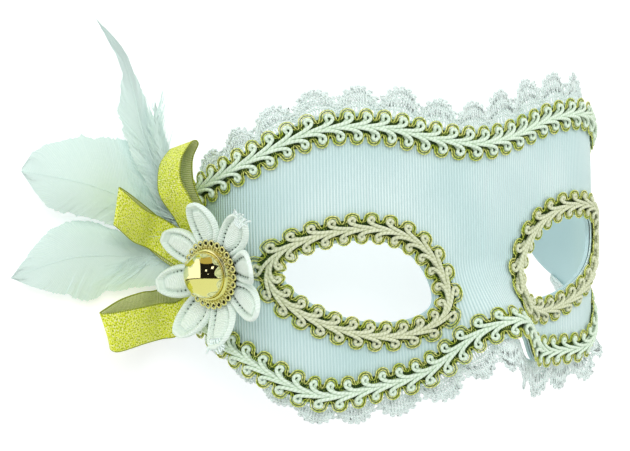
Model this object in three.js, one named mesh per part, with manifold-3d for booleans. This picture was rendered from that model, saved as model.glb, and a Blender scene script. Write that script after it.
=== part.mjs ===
// A feather masquerade mask, lying face up on its two temple edges.
// Millimetres. +Z is out of the face, +Y towards the brow, and -X is the temple that wears the flower.
// A place on the mask's face is given as (u, y): u is the arc length round the face from its middle
// line, y the height, and d the distance out of the face.
import * as THREE from "three";
import { mergeVertices } from "three/addons/utils/BufferGeometryUtils.js";
import Module from "manifold-3d";

const wasm = await Module();
wasm.setup();

const { smoothstep, degToRad } = THREE.MathUtils;

// Section of the face, from the flat cheeks round to the temples
const FACE_DEPTH = 58; // from the temple edges up to the front
const CHEEK_ANGLE = 9;
const TEMPLE_ANGLE = 87;
const MIDDLE_RUN = 5; // arc over which the cheek angle starts
const BEND_START = 36.4;
const BEND_END = 100.8;
const BOW = 5e-6; // how much the section shrinks towards the brow and the cheeks
const BOW_MIDDLE = -4.5;
const SECTION_STEP = 0.5;
const SECTION_LENGTH = 130;

// Nose ridge: it starts between the eyes and rises towards the lower edge
const NOSE_TOP = 4;
const NOSE_RISE = 17;
const NOSE_RUN = 16.6;
const NOSE_WIDTH = { low: -30, lowWidth: 17, high: 20, highWidth: 9.5 };

// Upper and lower edge of the mask, as heights along the arc, and the rounded temple corners
const UPPER_EDGE = [[0, 43.9], [15, 45.7], [35, 50], [55, 49.7], [75, 40.9], [95, 31.4], [112, 25]];
const LOWER_EDGE = [
  [0, -19.6], [9, -22], [22, -32.6], [38, -35.8], [56, -36.2], [76, -26.1], [95, -17.2], [112, -11],
];
const CORNER_RUN = 14;
const TEMPLE_FLAT = 0.62; // share of the temple edge that stays straight

// Eye openings: a tilted oval with a pointed outer corner
const EYE = { u: 38.4, y: -0.7, tilt: 14.8, length: 24.2, height: 11.3 };
const EYE_SHAPE = { stretch: 2.7, slant: 0.67, drop: -1.14, pinch: -0.53 };
const EYE_STEPS = 24;

// Layers, as distances out of the face
const SATIN = { inner: -0.5, outer: 0 };
const SHELL = { inner: -2, outer: -0.8 };
const LACE = { inner: -3.1, outer: -2.5 };

// Braid
const BRAID_GAP = 0.8;
const BRAID_HEIGHT = 2.4;
const BRAID_REPEAT = 7.6;
const EDGE_BRAID = { half: 5, inset: 5.2 };
const EYE_BRAID = { half: 4.4, outset: 3.6, tail: 2.5, tailRun: 4 };
const PICOT = 0.7; // how far the loops stand out of the braid's sides

// Lace trims
const SCALLOP = 13.4;
const LACE_UNDER = 3; // hidden behind the edge
// between and on the scallops, at the flowered temple and where the lace has its full height
const LACE_REACH = {
  top: { from: [3.4, 6.2], to: [5, 8.6], full: 80 },
  bottom: { from: [2.8, 4.8], to: [5.6, 9.4], full: 25 },
};
const LACE_END = 97;

// Flower, setting and dome, stacked on the flowered temple
const FLOWER = { u: -80.2, y: 4.9, heading: 72 };
const DAISY = {
  tip: 20.9, notch: 10.8, base: 7, thick: 1.3, rim: 0.7, cup: 4.5, cupStart: 10.8, turn: 14.3,
};
const PETALS = 8;
const SETTING = { inner: 7, outer: 10, base: 8.9, lip: 2.4, beads: 20 };
const DOME = { radius: 6.6, height: 8.9, foot: 2.3, base: 8.9 };
const KNOT = { radius: 6.6, low: 2, high: 6.6 };

// Ribbon, as centre points with the half width there as a vector
const RIBBON_THICK = 0.6;
const RIBBON_STEPS = 14;
const RIBBON_LOOPS = [
  // upper loop, curling over at its top
  [
    [[-74.4, 6.2, 31.1], [1, 0, 5.9]], [[-76.6, 12.2, 25.4], [1, 0.6, 5.9]],
    [[-78.6, 16.2, 22.4], [1.3, 0.5, 5.9]], [[-80.4, 20.4, 21.4], [1.4, 0.5, 5.9]],
    [[-84.4, 26.4, 21.8], [1.6, 0.5, 5.9]], [[-85.9, 31.4, 21.5], [0.6, 1, 6.1]],
    [[-85.8, 37, 23], [0.4, 1.2, 6.1]], [[-83.2, 41.2, 24.5], [0.6, 1.4, 5.8]],
    [[-81.2, 40.6, 24], [0.8, 1.2, 5.8]], [[-81.4, 36, 20.6], [0.8, 0.8, 5.6]],
    [[-80.8, 28.3, 20.4], [0.9, 0.5, 5.6]], [[-77.6, 19, 23.4], [1, 0.4, 5.8]],
    [[-74.5, 7.2, 30.1], [1, 0, 5.9]],
  ],
  // middle loop
  [
    [[-74.6, 5.2, 31.1], [0, -6, 0]], [[-77.5, 7.7, 22.5], [-0.3, -5.9, -0.8]],
    [[-80.2, 10.2, 16.2], [-0.3, -5.6, -1.8]], [[-86, 15, 11.4], [-0.4, -5.2, -2.4]],
    [[-93.4, 18.4, 15.8], [-0.7, -5, -2.6]], [[-99.4, 22.9, 19.5], [-0.4, -5.4, -1.9]],
    [[-101.9, 25, 20.2], [-0.4, -5.5, -1.4]], [[-99.8, 24.3, 17.8], [-0.6, -5.2, -2]],
    [[-94.4, 21, 14], [-0.6, -5.2, -2.4]], [[-87.5, 16.2, 10.8], [-0.5, -5.2, -2.2]],
    [[-81.6, 10.7, 12.2], [-0.4, -5.2, -2.2]], [[-76.9, 6.7, 20], [-0.3, -5.9, -0.8]],
    [[-74.5, 4.2, 30.1], [0, -6, 0]],
  ],
  // lower loop
  [
    [[-74.8, 3.2, 31.1], [0.3, -5.6, -1.6]], [[-77.5, -3.8, 22.5], [0.3, -5.8, -1.6]],
    [[-80.9, -10.6, 14.6], [0.6, -5.6, -1.6]], [[-86.5, -10.9, 14], [0.5, -5.7, -1.2]],
    [[-94, -10.5, 18], [0.3, -5.7, -0.9]], [[-103.6, -10.6, 21], [1, -5.7, 0.3]],
    [[-107.2, -10.1, 21.6], [1.4, -5.6, 1]], [[-105.3, -9.3, 18.6], [0.8, -5.8, -1]],
    [[-98.7, -8, 15], [1, -5.8, -1]], [[-91, -7.4, 11.8], [0.8, -5.8, -1.2]],
    [[-84.2, -7.6, 8.9], [0.5, -5.8, -1.2]], [[-77.6, -1.2, 18], [0.2, -5.9, -1.2]],
    [[-74.5, 3.2, 30.1], [0.3, -5.6, -1.6]],
  ],
];

// Feathers: the line of the quill, the widest half width, and how blunt the tip is
const FEATHER_THICK = 0.8;
const FEATHER_STEPS = 12;
const QUILL = 0.7; // half width of the bare quill
const FEATHERS = {
  feather_tall: {
    line: [[-74.2, 9.7, 23.8], [-79.3, 16.2, 12.2], [-83.5, 30.4, 11.2], [-88.6, 45.2, 11.1],
      [-91.4, 56.6, 12.2], [-95.2, 67.5, 13.2], [-103.1, 77.5, 14.4]],
    half: 6.6, bare: 0.2, widest: 0.95, blunt: 1.4, droop: 1.1,
  },
  feather_short: {
    line: [[-73.7, 12.7, 25.7], [-78.4, 19.4, 15.4], [-81.6, 30.4, 13.2], [-84.9, 42, 13.4],
      [-85.4, 54, 13.4]],
    half: 4.6, bare: 0.32, widest: 0.9, blunt: 0.9, droop: 0.6,
  },
  feather_upper: {
    line: [[-75.3, 7.2, 21.6], [-80.1, 12.4, 9.6], [-92, 24.4, 7.6], [-106.2, 31, 8.2],
      [-125.6, 36, 10.4]],
    half: 11.8, bare: 0.18, widest: 0.95, blunt: 0.42, droop: 2.2,
  },
  feather_lower: {
    line: [[-75.4, 3.2, 21.1], [-79.7, 6.6, 7.6], [-94.4, 8.5, 4.6], [-110.3, 9.3, 4.4],
      [-128.6, 5.8, 6]],
    half: 12.6, bare: 0.12, widest: 1, blunt: 0.7, droop: 1.8,
  },
};

// Materials
const finish = (color, roughness, metalness = 0) =>
  new THREE.MeshStandardMaterial({ color, roughness, metalness });
const WHITE_PLASTIC = finish(0xe6f2f4, 0.5);
const WHITE_SATIN = finish(0xdff0ef, 0.45);
const CREAM_BRAID = finish(0xdfe0b4, 0.7);
const WHITE_LACE = finish(0xe4f4ee, 0.8);
const GOLD_RIBBON = finish(0xb9b93a, 0.4, 0.4);
const WHITE_FEATHER = finish(0xe0f3ee, 0.9);
const GOLD = finish(0xd9c458, 0.2, 1);

// A smooth function through stations, level at the first one.
function through(stations) {
  const last = stations.length - 1;
  const slope = (i) => {
    if (i === 0) return 0;
    const [a, b] = [stations[i - 1], stations[Math.min(i + 1, last)]];
    return (b[1] - a[1]) / (b[0] - a[0]);
  };
  return (position) => {
    const s = Math.min(Math.abs(position), stations[last][0]);
    let i = 0;
    while (i < last - 1 && s > stations[i + 1][0]) i += 1;
    const [[s0, v0], [s1, v1]] = [stations[i], stations[i + 1]];
    const run = s1 - s0;
    const t = (s - s0) / run;
    const eased = t * t * (3 - 2 * t);
    const start = t * (1 - t) * (1 - t) * run * slope(i);
    const end = t * t * (t - 1) * run * slope(i + 1);
    return v0 + (v1 - v0) * eased + start + end;
  };
}

// The section's angle from the front, in radians, at an arc length.
function sectionAngle(arc) {
  const cheek = CHEEK_ANGLE * (1 - Math.exp(-arc / MIDDLE_RUN));
  const bend = (TEMPLE_ANGLE - CHEEK_ANGLE) * smoothstep(arc, BEND_START, BEND_END);
  return degToRad(cheek + bend);
}

// The section's points, added up step by step from the middle.
const section = [{ x: 0, z: FACE_DEPTH }];
for (let arc = SECTION_STEP; arc <= SECTION_LENGTH; arc += SECTION_STEP) {
  const angle = sectionAngle(arc - SECTION_STEP / 2);
  const before = section[section.length - 1];
  section.push({
    x: before.x + SECTION_STEP * Math.cos(angle),
    z: before.z - SECTION_STEP * Math.sin(angle),
  });
}
const beyond = section.findIndex((p) => p.z < 0);
const TEMPLE_END =
  SECTION_STEP * (beyond - 1 + section[beyond - 1].z / (section[beyond - 1].z - section[beyond].z));

function sectionPoint(arc) {
  const i = Math.min(Math.floor(arc / SECTION_STEP), section.length - 2);
  const t = arc / SECTION_STEP - i;
  const [a, b] = [section[i], section[i + 1]];
  return { x: a.x + t * (b.x - a.x), z: a.z + t * (b.z - a.z) };
}

function noseHeight(y) {
  const t = Math.max(NOSE_TOP - y, 0) / NOSE_RUN;
  return NOSE_RISE * (1 - Math.exp(-t * t));
}

function noseWidth(y) {
  const { low, lowWidth, high, highWidth } = NOSE_WIDTH;
  const t = THREE.MathUtils.clamp((y - low) / (high - low), 0, 1);
  return lowWidth + t * (highWidth - lowWidth);
}

// The point of the face at (u, y), d out of it. Nothing goes under the plane that the mask rests on.
function face(u, y, d = 0) {
  const arc = Math.abs(u);
  const side = Math.sign(u);
  const angle = sectionAngle(arc);
  const { x, z } = sectionPoint(arc);
  const bow = 1 - BOW * (y - BOW_MIDDLE) ** 2;
  const ridge = noseHeight(y) * Math.exp(-((x / noseWidth(y)) ** 2));
  return new THREE.Vector3(
    side * (x * bow + d * Math.sin(angle)),
    y,
    Math.max(z * bow + d * Math.cos(angle) + ridge, 0),
  );
}

// The face's directions along u and y at a place, and its normal.
function faceFrame(u, y) {
  const step = 0.1;
  const along = face(u + step, y).sub(face(u - step, y)).divideScalar(2 * step);
  const up = face(u, y + step).sub(face(u, y - step)).divideScalar(2 * step);
  return { along, up, normal: along.clone().cross(up).normalize() };
}

// The step in (u, y) that goes one millimetre to the left of a direction, square to it on the face.
function leftStep(u, y, direction) {
  const { along, up } = faceFrame(u, y);
  const travel = along.clone().multiplyScalar(direction.x).addScaledVector(up, direction.y);
  const step = new THREE.Vector2(-travel.dot(up), travel.dot(along));
  const length = along.multiplyScalar(step.x).addScaledVector(up, step.y).length();
  return step.divideScalar(length);
}

const upperEdge = through(UPPER_EDGE);
const lowerEdge = through(LOWER_EDGE);

// The mask's outline moved inwards by an inset: its end, and its middle and half height at an arc.
function outline(inset) {
  const end = TEMPLE_END - inset;
  const corner = end - CORNER_RUN;
  const half = (arc) => {
    const t = THREE.MathUtils.clamp((arc - corner) / CORNER_RUN, 0, 1);
    const round = TEMPLE_FLAT + (1 - TEMPLE_FLAT) * Math.sqrt(1 - t * t);
    return ((upperEdge(arc) - lowerEdge(arc)) / 2 - inset) * round;
  };
  const middle = (arc) => (upperEdge(arc) + lowerEdge(arc)) / 2;
  return { end, corner, half, middle };
}

// Arc lengths from one temple end to the other, closer together at the nose and in the corners.
function columns({ end, corner }) {
  const right = [0, 3.2, 6.4, 9.6, 13, 17, 22, 28];
  const plain = 6;
  for (let i = 1; i <= plain; i += 1) right.push(28 + ((corner - 28) * i) / plain);
  for (const turn of [30, 55, 75, 90]) {
    right.push(corner + (end - corner) * Math.sin(degToRad(turn)));
  }
  return [...right.slice(1).reverse().map((u) => -u), ...right];
}

function meshGeometry(points, triangles) {
  const geometry = new THREE.BufferGeometry();
  geometry.setAttribute(
    "position",
    new THREE.Float32BufferAttribute(points.flatMap((p) => [p.x, p.y, p.z]), 3),
  );
  geometry.setIndex(triangles);
  return outward(geometry);
}

// Turns a closed surface's faces outwards.
function outward(geometry) {
  const position = geometry.attributes.position;
  const index = geometry.index.array;
  const [a, b, c] = [new THREE.Vector3(), new THREE.Vector3(), new THREE.Vector3()];
  let volume = 0;
  for (let i = 0; i < index.length; i += 3) {
    a.fromBufferAttribute(position, index[i]);
    b.fromBufferAttribute(position, index[i + 1]);
    c.fromBufferAttribute(position, index[i + 2]);
    volume += a.dot(b.cross(c));
  }
  if (volume < 0) {
    for (let i = 0; i < index.length; i += 3) {
      [index[i + 1], index[i + 2]] = [index[i + 2], index[i + 1]];
    }
  }
  geometry.computeVertexNormals();
  return geometry;
}

// A thin closed sheet: a grid of points on each face, with walls round its four sides.
function closedSheet(columnCount, rowCount, upper, lower) {
  const points = [];
  const triangles = [];
  const rowsPlus = rowCount + 1;
  for (const face of [upper, lower]) {
    for (let i = 0; i <= columnCount; i += 1) {
      for (let j = 0; j <= rowCount; j += 1) points.push(face(i, j));
    }
  }
  const at = (layer, i, j) => layer * (columnCount + 1) * rowsPlus + i * rowsPlus + j;
  const quad = (a, b, c, d) => triangles.push(a, b, c, a, c, d);
  for (let i = 0; i < columnCount; i += 1) {
    for (let j = 0; j < rowCount; j += 1) {
      quad(at(0, i, j), at(0, i + 1, j), at(0, i + 1, j + 1), at(0, i, j + 1));
      quad(at(1, i, j), at(1, i, j + 1), at(1, i + 1, j + 1), at(1, i + 1, j));
    }
    quad(at(0, i, 0), at(1, i, 0), at(1, i + 1, 0), at(0, i + 1, 0));
    quad(at(0, i, rowCount), at(0, i + 1, rowCount), at(1, i + 1, rowCount), at(1, i, rowCount));
  }
  for (let j = 0; j < rowCount; j += 1) {
    quad(at(0, 0, j), at(0, 0, j + 1), at(1, 0, j + 1), at(1, 0, j));
    quad(at(0, columnCount, j), at(1, columnCount, j), at(1, columnCount, j + 1),
      at(0, columnCount, j + 1));
  }
  return meshGeometry(points, triangles);
}

// A solid through rings of points. It closes on itself, or ends in a point at the middle of each end.
function ringSolid(rings, closesOnItself = false) {
  const count = rings[0].length;
  const points = rings.flat();
  const triangles = [];
  const spans = closesOnItself ? rings.length : rings.length - 1;
  for (let k = 0; k < spans; k += 1) {
    const [low, high] = [k * count, ((k + 1) % rings.length) * count];
    for (let i = 0; i < count; i += 1) {
      const next = (i + 1) % count;
      triangles.push(low + i, low + next, high + next, low + i, high + next, high + i);
    }
  }
  if (!closesOnItself) {
    for (const [ring, first, flip] of [
      [rings[0], 0, true],
      [rings[rings.length - 1], (rings.length - 1) * count, false],
    ]) {
      const middle = new THREE.Vector3();
      ring.forEach((p) => middle.addScaledVector(p, 1 / count));
      points.push(middle);
      for (let i = 0; i < count; i += 1) {
        const [a, b] = [first + i, first + ((i + 1) % count)];
        triangles.push(...(flip ? [points.length - 1, b, a] : [points.length - 1, a, b]));
      }
    }
  }
  return meshGeometry(points, triangles);
}

function toSolid(geometry) {
  const bare = geometry.clone();
  bare.deleteAttribute("normal");
  const merged = mergeVertices(bare, 1e-4);
  return new wasm.Manifold(
    new wasm.Mesh({
      numProp: 3,
      vertProperties: merged.attributes.position.array,
      triVerts: new Uint32Array(merged.index.array),
    }),
  );
}

function fromSolid(solid) {
  const mesh = solid.getMesh();
  const geometry = new THREE.BufferGeometry();
  geometry.setAttribute("position", new THREE.BufferAttribute(mesh.vertProperties, 3));
  geometry.setIndex(new THREE.BufferAttribute(mesh.triVerts, 1));
  geometry.computeVertexNormals();
  return geometry;
}

// The eye opening's outline on one side, moved outwards by an outset. It runs clockwise.
function eyeLoop(side, outset, steps = EYE_STEPS) {
  const { stretch, slant, drop, pinch } = EYE_SHAPE;
  const tilt = degToRad(EYE.tilt);
  const loop = [];
  for (let i = 0; i < steps; i += 1) {
    const t = (-2 * Math.PI * i) / steps;
    const x = EYE.length * Math.cos(t) + stretch * Math.cos(2 * t);
    const y = EYE.height * Math.sin(t) + slant * Math.sin(2 * t) + drop * Math.cos(2 * t) +
      pinch * Math.sin(3 * t);
    const dx = -EYE.length * Math.sin(t) - 2 * stretch * Math.sin(2 * t);
    const dy = EYE.height * Math.cos(t) + 2 * slant * Math.cos(2 * t) -
      2 * drop * Math.sin(2 * t) + 3 * pinch * Math.cos(3 * t);
    const length = Math.hypot(dx, dy);
    const [px, py] = [x + (outset * dy) / length, y - (outset * dx) / length];
    loop.push(new THREE.Vector2(
      side * (EYE.u + px * Math.cos(tilt) - py * Math.sin(tilt)),
      EYE.y + px * Math.sin(tilt) + py * Math.cos(tilt),
    ));
  }
  return side < 0 ? loop.reverse() : loop;
}

// The mask's whole outline, moved inwards by an inset. It runs clockwise.
function edgeLoop(inset) {
  const { end, corner, half, middle } = outline(inset);
  const quarter = [];
  for (let arc = 0; arc < corner; arc += 1) quarter.push(arc);
  for (let turn = 0; turn <= 90; turn += 6) {
    quarter.push(corner + (end - corner) * Math.sin(degToRad(turn)));
  }
  const edge = (side, up) =>
    quarter.map((arc) => new THREE.Vector2(side * arc, middle(arc) + up * half(arc)));
  return [
    ...edge(1, 1), ...edge(1, -1).reverse(),
    ...edge(-1, -1).slice(1), ...edge(-1, 1).reverse().slice(0, -1),
  ];
}

// Places at even distances along a line on the face, each with its step to the left.
function evenly(line, count, closed) {
  const ends = closed ? [...line, line[0]] : line;
  const far = [0];
  for (let i = 1; i < ends.length; i += 1) {
    const gap = face(ends[i].x, ends[i].y).distanceTo(face(ends[i - 1].x, ends[i - 1].y));
    far.push(far[i - 1] + gap);
  }
  const total = far[far.length - 1];
  const places = [];
  let k = 0;
  for (let i = 0; i < count; i += 1) {
    const s = (total * i) / (closed ? count : count - 1);
    while (k < far.length - 2 && far[k + 1] <= s) k += 1;
    const t = Math.min((s - far[k]) / (far[k + 1] - far[k]), 1);
    places.push({ s, at: ends[k].clone().lerp(ends[k + 1], t) });
  }
  places.forEach((place, i) => {
    const before = places[closed ? (i + count - 1) % count : Math.max(i - 1, 0)].at;
    const after = places[closed ? (i + 1) % count : Math.min(i + 1, count - 1)].at;
    place.left = leftStep(place.at.x, place.at.y, after.clone().sub(before));
  });
  places.total = total;
  return places;
}

function lineLength(line) {
  return evenly(line, 2, true).total;
}

// A braid along a closed line: a low arched band whose sides stand out in loops.
function braid(loop, half, tail = () => 0) {
  const count = 2 * Math.round(lineLength(loop) / BRAID_REPEAT);
  const places = evenly(loop, count, true);
  const rings = places.map(({ at, left, s }, i) => {
    const out = i % 2 ? -PICOT : 0;
    const ridge = i % 2 ? 0 : -0.4;
    const profile = [
      [half + out + tail(s, places.total), BRAID_GAP], [half - 1, 1.6], [0, BRAID_HEIGHT + ridge],
      [1 - half, 1.6], [-half - out, BRAID_GAP], [0, BRAID_GAP],
    ];
    return profile.map(([across, high]) => {
      const [u, y] = [at.x + left.x * across, at.y + left.y * across];
      return face(u, y).addScaledVector(faceFrame(u, y).normal, high);
    });
  });
  return ringSolid(rings, true);
}

// An eye's braid, drawn out into a short tail at the outer corner.
function eyeBraid(side) {
  const loop = eyeLoop(side, EYE_BRAID.outset, 120);
  const corner = side > 0 ? 0 : loop.length - 1;
  const turned = [...loop.slice(corner), ...loop.slice(0, corner)];
  const tail = (s, total) =>
    EYE_BRAID.tail * Math.exp(-((Math.min(s, total - s) / EYE_BRAID.tailRun) ** 2));
  return braid(turned, EYE_BRAID.half, tail);
}

// A layer of the face between two distances out of it, with both eyes open.
function faceLayer({ inner, outer }) {
  const shape = outline(0);
  const arcs = columns(shape);
  const rows = 7;
  const layer = (d) => (i, j) => {
    const arc = Math.abs(arcs[i]);
    const height = 2 * (j / rows) ** 1.25 - 1;
    return face(arcs[i], shape.middle(arc) + shape.half(arc) * height, d);
  };
  let solid = toSolid(closedSheet(arcs.length - 1, rows, layer(outer), layer(inner)));
  for (const side of [-1, 1]) {
    const loop = eyeLoop(side, 0);
    const cutter = ringSolid([-8, 6].map((d) => loop.map((p) => face(p.x, p.y, d))));
    solid = solid.subtract(toSolid(cutter));
  }
  return fromSolid(solid);
}

// A lace trim behind the upper or the lower edge, with a scalloped outer side.
function laceTrim(up) {
  const { half, middle } = outline(0);
  const line = [];
  for (let u = -LACE_END; u <= LACE_END; u += 1) {
    line.push(new THREE.Vector2(u, middle(Math.abs(u)) + up * half(Math.abs(u))));
  }
  if (up < 0) line.reverse();
  const scallops = Math.round(evenly(line, 2, false).total / SCALLOP);
  const places = evenly(line, 3 * scallops + 1, false);
  const { from, to, full } = up > 0 ? LACE_REACH.top : LACE_REACH.bottom;
  const layer = (d) => (i, j) => {
    const { at, left } = places[i];
    const share = smoothstep(at.x, -LACE_END, full);
    const [valley, crest] = from.map((value, k) => value + (to[k] - value) * share);
    const reach = valley + (crest - valley) * Math.sin((Math.PI * (i % 3)) / 3);
    const across = [-LACE_UNDER, 1.5, reach][j];
    return face(at.x + left.x * across, at.y + left.y * across, d);
  };
  return closedSheet(places.length - 1, 2, layer(LACE.outer), layer(LACE.inner));
}

const vector = (p) => new THREE.Vector3(...p);

// One loop of ribbon: a thin strip along its centre line, as wide as its vectors say.
function ribbonLoop(stations) {
  const centre = new THREE.CatmullRomCurve3(stations.map(([p]) => vector(p)));
  const width = new THREE.CatmullRomCurve3(stations.map(([, w]) => vector(w)));
  const layer = (side) => (i, j) => {
    const t = i / RIBBON_STEPS;
    const across = width.getPoint(t);
    const normal = centre.getTangent(t).cross(across).normalize();
    return centre.getPoint(t).addScaledVector(across, 2 * j - 1)
      .addScaledVector(normal, (side * RIBBON_THICK) / 2);
  };
  return closedSheet(RIBBON_STEPS, 1, layer(1), layer(-1));
}

// Points round a circle about the flower's axis.
function ring(count, radius, high) {
  const points = [];
  for (let i = 0; i < count; i += 1) {
    const angle = (2 * Math.PI * i) / count;
    const r = typeof radius === "function" ? radius(angle, i) : radius;
    const c = typeof high === "function" ? high(r) : high;
    points.push(new THREE.Vector3(r * Math.cos(angle), r * Math.sin(angle), c));
  }
  return points;
}

// The flower's frame: its middle on the face, its axis out of the temple.
const flowerFrame = new THREE.Matrix4()
  .makeRotationY(-degToRad(FLOWER.heading))
  .setPosition(face(FLOWER.u, FLOWER.y));

// The bow: three loops of one ribbon, stitched together in a flat knot under the flower.
function ribbonBow() {
  const { radius, low, high } = KNOT;
  const knot = ringSolid([
    ring(16, radius - 0.6, low), ring(16, radius, (low + high) / 2), ring(16, radius - 0.6, high),
  ]).applyMatrix4(flowerFrame);
  let bow = toSolid(knot);
  for (const stations of RIBBON_LOOPS) bow = bow.add(toSolid(ribbonLoop(stations)));
  return fromSolid(bow);
}

// A feather: a thin vane with a drooping cross section on both sides of its quill.
function feather({ line, half, bare, widest, blunt, droop }) {
  const quill = new THREE.CatmullRomCurve3(line.map(vector));
  const up = new THREE.Vector3(-0.1, 0, 1);
  const peak = widest / (widest + blunt);
  const most = peak ** widest * (1 - peak) ** blunt;
  const rows = 2;
  const layer = (side) => (i, j) => {
    const t = i / FEATHER_STEPS;
    const vane = Math.max((t - bare) / (1 - bare), 0);
    const reach = QUILL + (half * vane ** widest * (1 - vane) ** blunt) / most;
    const across = (2 * j) / rows - 1;
    const sideways = up.clone().cross(quill.getTangent(t)).normalize();
    const point = quill.getPoint(t).addScaledVector(sideways, across * reach);
    point.z += (side * FEATHER_THICK) / 2 - droop * across * across * (reach / half) ** 2;
    return point;
  };
  return closedSheet(FEATHER_STEPS, rows, layer(1), layer(-1));
}

// The daisy: eight petals with thick rims round a flat middle, cupped outwards.
function daisy() {
  const { tip, notch, base, thick, rim, cup, cupStart, turn } = DAISY;
  const reach = (share) => (angle) => {
    const petal = Math.abs(Math.cos((PETALS / 2) * (angle - degToRad(turn))));
    return (notch + (tip - notch) * petal ** 0.95) * share;
  };
  const rise = (r) => cup * (Math.max(r - cupStart, 0) / (tip - cupStart)) ** 1.5;
  const cupped = (more) => (r) => base + more + rise(r);
  const raised = (r) => cupped(thick)(r) + rim * smoothstep(r, cupStart, cupStart + 2);
  return ringSolid([
    ring(64, 5, base), ring(64, reach(0.84), cupped(0)), ring(64, reach(1), cupped(thick / 2)),
    ring(64, reach(0.9), raised), ring(64, reach(0.55), cupped(thick)),
    ring(64, 5, base + thick),
  ]);
}

// The setting: a ring with a raised lip round the dome and a beaded outer edge.
function setting() {
  const { inner, outer, base, lip, beads } = SETTING;
  const count = 2 * beads;
  const beaded = (r) => (angle, i) => (i % 2 ? r : r - 0.5);
  const stages = [
    [inner, 0], [inner, lip], [inner + 0.4, lip], [inner + 0.9, 1.2],
    [beaded(outer - 0.6), 1.4], [beaded(outer), 0.9], [outer - 1.2, 0],
  ];
  return ringSolid(stages.map(([radius, high]) => ring(count, radius, base + high)), true);
}

// The dome: half a sphere on a short straight foot.
function dome() {
  const { radius, height, foot, base } = DOME;
  const rings = [ring(22, radius, base), ring(22, radius, base + foot)];
  for (const angle of [20, 40, 58, 74]) {
    const turn = degToRad(angle);
    rings.push(ring(22, radius * Math.cos(turn), base + foot + (height - foot) * Math.sin(turn)));
  }
  return ringSolid(rings);
}

function piece(name, geometry, material) {
  const mesh = new THREE.Mesh(geometry, material);
  mesh.name = name;
  return mesh;
}

const mask = new THREE.Group();
mask.add(
  piece("mask_shell", faceLayer(SHELL), WHITE_PLASTIC),
  piece("satin_cover", faceLayer(SATIN), WHITE_SATIN),
  piece("edge_braid", braid(edgeLoop(EDGE_BRAID.inset), EDGE_BRAID.half), CREAM_BRAID),
  piece("eye_braid_left", eyeBraid(-1), CREAM_BRAID),
  piece("eye_braid_right", eyeBraid(1), CREAM_BRAID),
  piece("lace_top", laceTrim(1), WHITE_LACE),
  piece("lace_bottom", laceTrim(-1), WHITE_LACE),
  piece("gold_ribbon_bow", ribbonBow(), GOLD_RIBBON),
);
for (const [name, shape] of Object.entries(FEATHERS)) {
  mask.add(piece(name, feather(shape), WHITE_FEATHER));
}

const flower = new THREE.Group();
flower.applyMatrix4(flowerFrame);
flower.add(
  piece("lace_daisy", daisy(), WHITE_LACE),
  piece("button_setting", setting(), GOLD),
  piece("button_dome", dome(), GOLD),
);
mask.add(flower);

// The origin is under the middle of the whole object, on the plane that it rests on.
const box = new THREE.Box3().setFromObject(mask);
const middle = box.getCenter(new THREE.Vector3());
mask.position.set(-middle.x, -middle.y, -box.min.z);

export default mask;
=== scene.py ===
# %% [markdown]
# # A feather masquerade mask
# The mask is a moulded white half mask with ribbed satin glued over it, a gimp braid round its edge
# and its eyes, lace behind the edge, and a flower, a bow and four feathers on one temple.
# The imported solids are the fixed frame. Each piece below is worked out from the same measures, so
# that it lies where its solid lies.

import math

import bmesh
import bpy
import numpy as np
from mathutils import Matrix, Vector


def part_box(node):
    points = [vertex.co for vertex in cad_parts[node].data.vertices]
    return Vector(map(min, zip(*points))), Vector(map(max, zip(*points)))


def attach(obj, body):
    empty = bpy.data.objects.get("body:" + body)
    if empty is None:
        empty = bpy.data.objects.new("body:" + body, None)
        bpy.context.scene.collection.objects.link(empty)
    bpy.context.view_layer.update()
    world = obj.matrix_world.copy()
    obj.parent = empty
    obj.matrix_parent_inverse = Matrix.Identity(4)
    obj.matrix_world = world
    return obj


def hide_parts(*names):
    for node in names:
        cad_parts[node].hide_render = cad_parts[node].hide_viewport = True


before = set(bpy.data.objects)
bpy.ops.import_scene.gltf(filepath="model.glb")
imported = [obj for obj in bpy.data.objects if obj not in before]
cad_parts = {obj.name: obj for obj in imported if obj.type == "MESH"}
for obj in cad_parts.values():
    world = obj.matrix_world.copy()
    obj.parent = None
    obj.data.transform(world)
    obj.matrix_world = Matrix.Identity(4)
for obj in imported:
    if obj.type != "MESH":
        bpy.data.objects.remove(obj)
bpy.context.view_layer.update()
print("solids:", ", ".join(sorted(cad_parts)))

# %% [markdown]
# ## Millimetres on the mask
# The measures are in millimetres from the mask's own middle line. The row's origin is under the
# middle of the whole object, so one shift takes a place on the mask to its place in the scene. The
# satin is symmetric and gives x, and the button stands at a known height and gives y.

# %% From the mask's millimetres to the scene's metres
FLOWER_HEIGHT = 4.9
satin_low, satin_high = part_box("satin_cover")
dome_low, dome_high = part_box("button_dome")
SHIFT = np.array([
    500 * (satin_low.x + satin_high.x),
    500 * (dome_low.y + dome_high.y) - FLOWER_HEIGHT,
    0.0,
])


def metres(points):
    """Points in metres: the mask's millimetres plus the shift, divided by a thousand."""
    return (np.asarray(points, float) + SHIFT) / 1000


print("shift in mm:", SHIFT.round(3))

# %% [markdown]
# ## The camera
# The photograph looks at the flowered temple from the front and a little above. The place, the aim,
# the roll and the focal length come from a fit of known points of the mask.

# %% Camera
CAMERA_PLACE = np.array([-244.7, 61.8, 337.1])
CAMERA_AIM = np.array([-57.0, 18.56, 53.0])
CAMERA_ROLL = math.radians(-1.4)
FOCAL_PIXELS = 1228.6
IMAGE_WIDTH = 630
SENSOR = 36.0
CLIP_NEAR = 0.01


def unit(vectors):
    """Vectors divided by their lengths, which a tiny number keeps above zero."""
    vectors = np.asarray(vectors, float)
    return vectors / (np.linalg.norm(vectors, axis=-1, keepdims=True) + 1e-12)


def linked(name, data):
    """A new object with its data, linked to the scene."""
    made = bpy.data.objects.new(name, data)
    bpy.context.scene.collection.objects.link(made)
    return made


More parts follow.
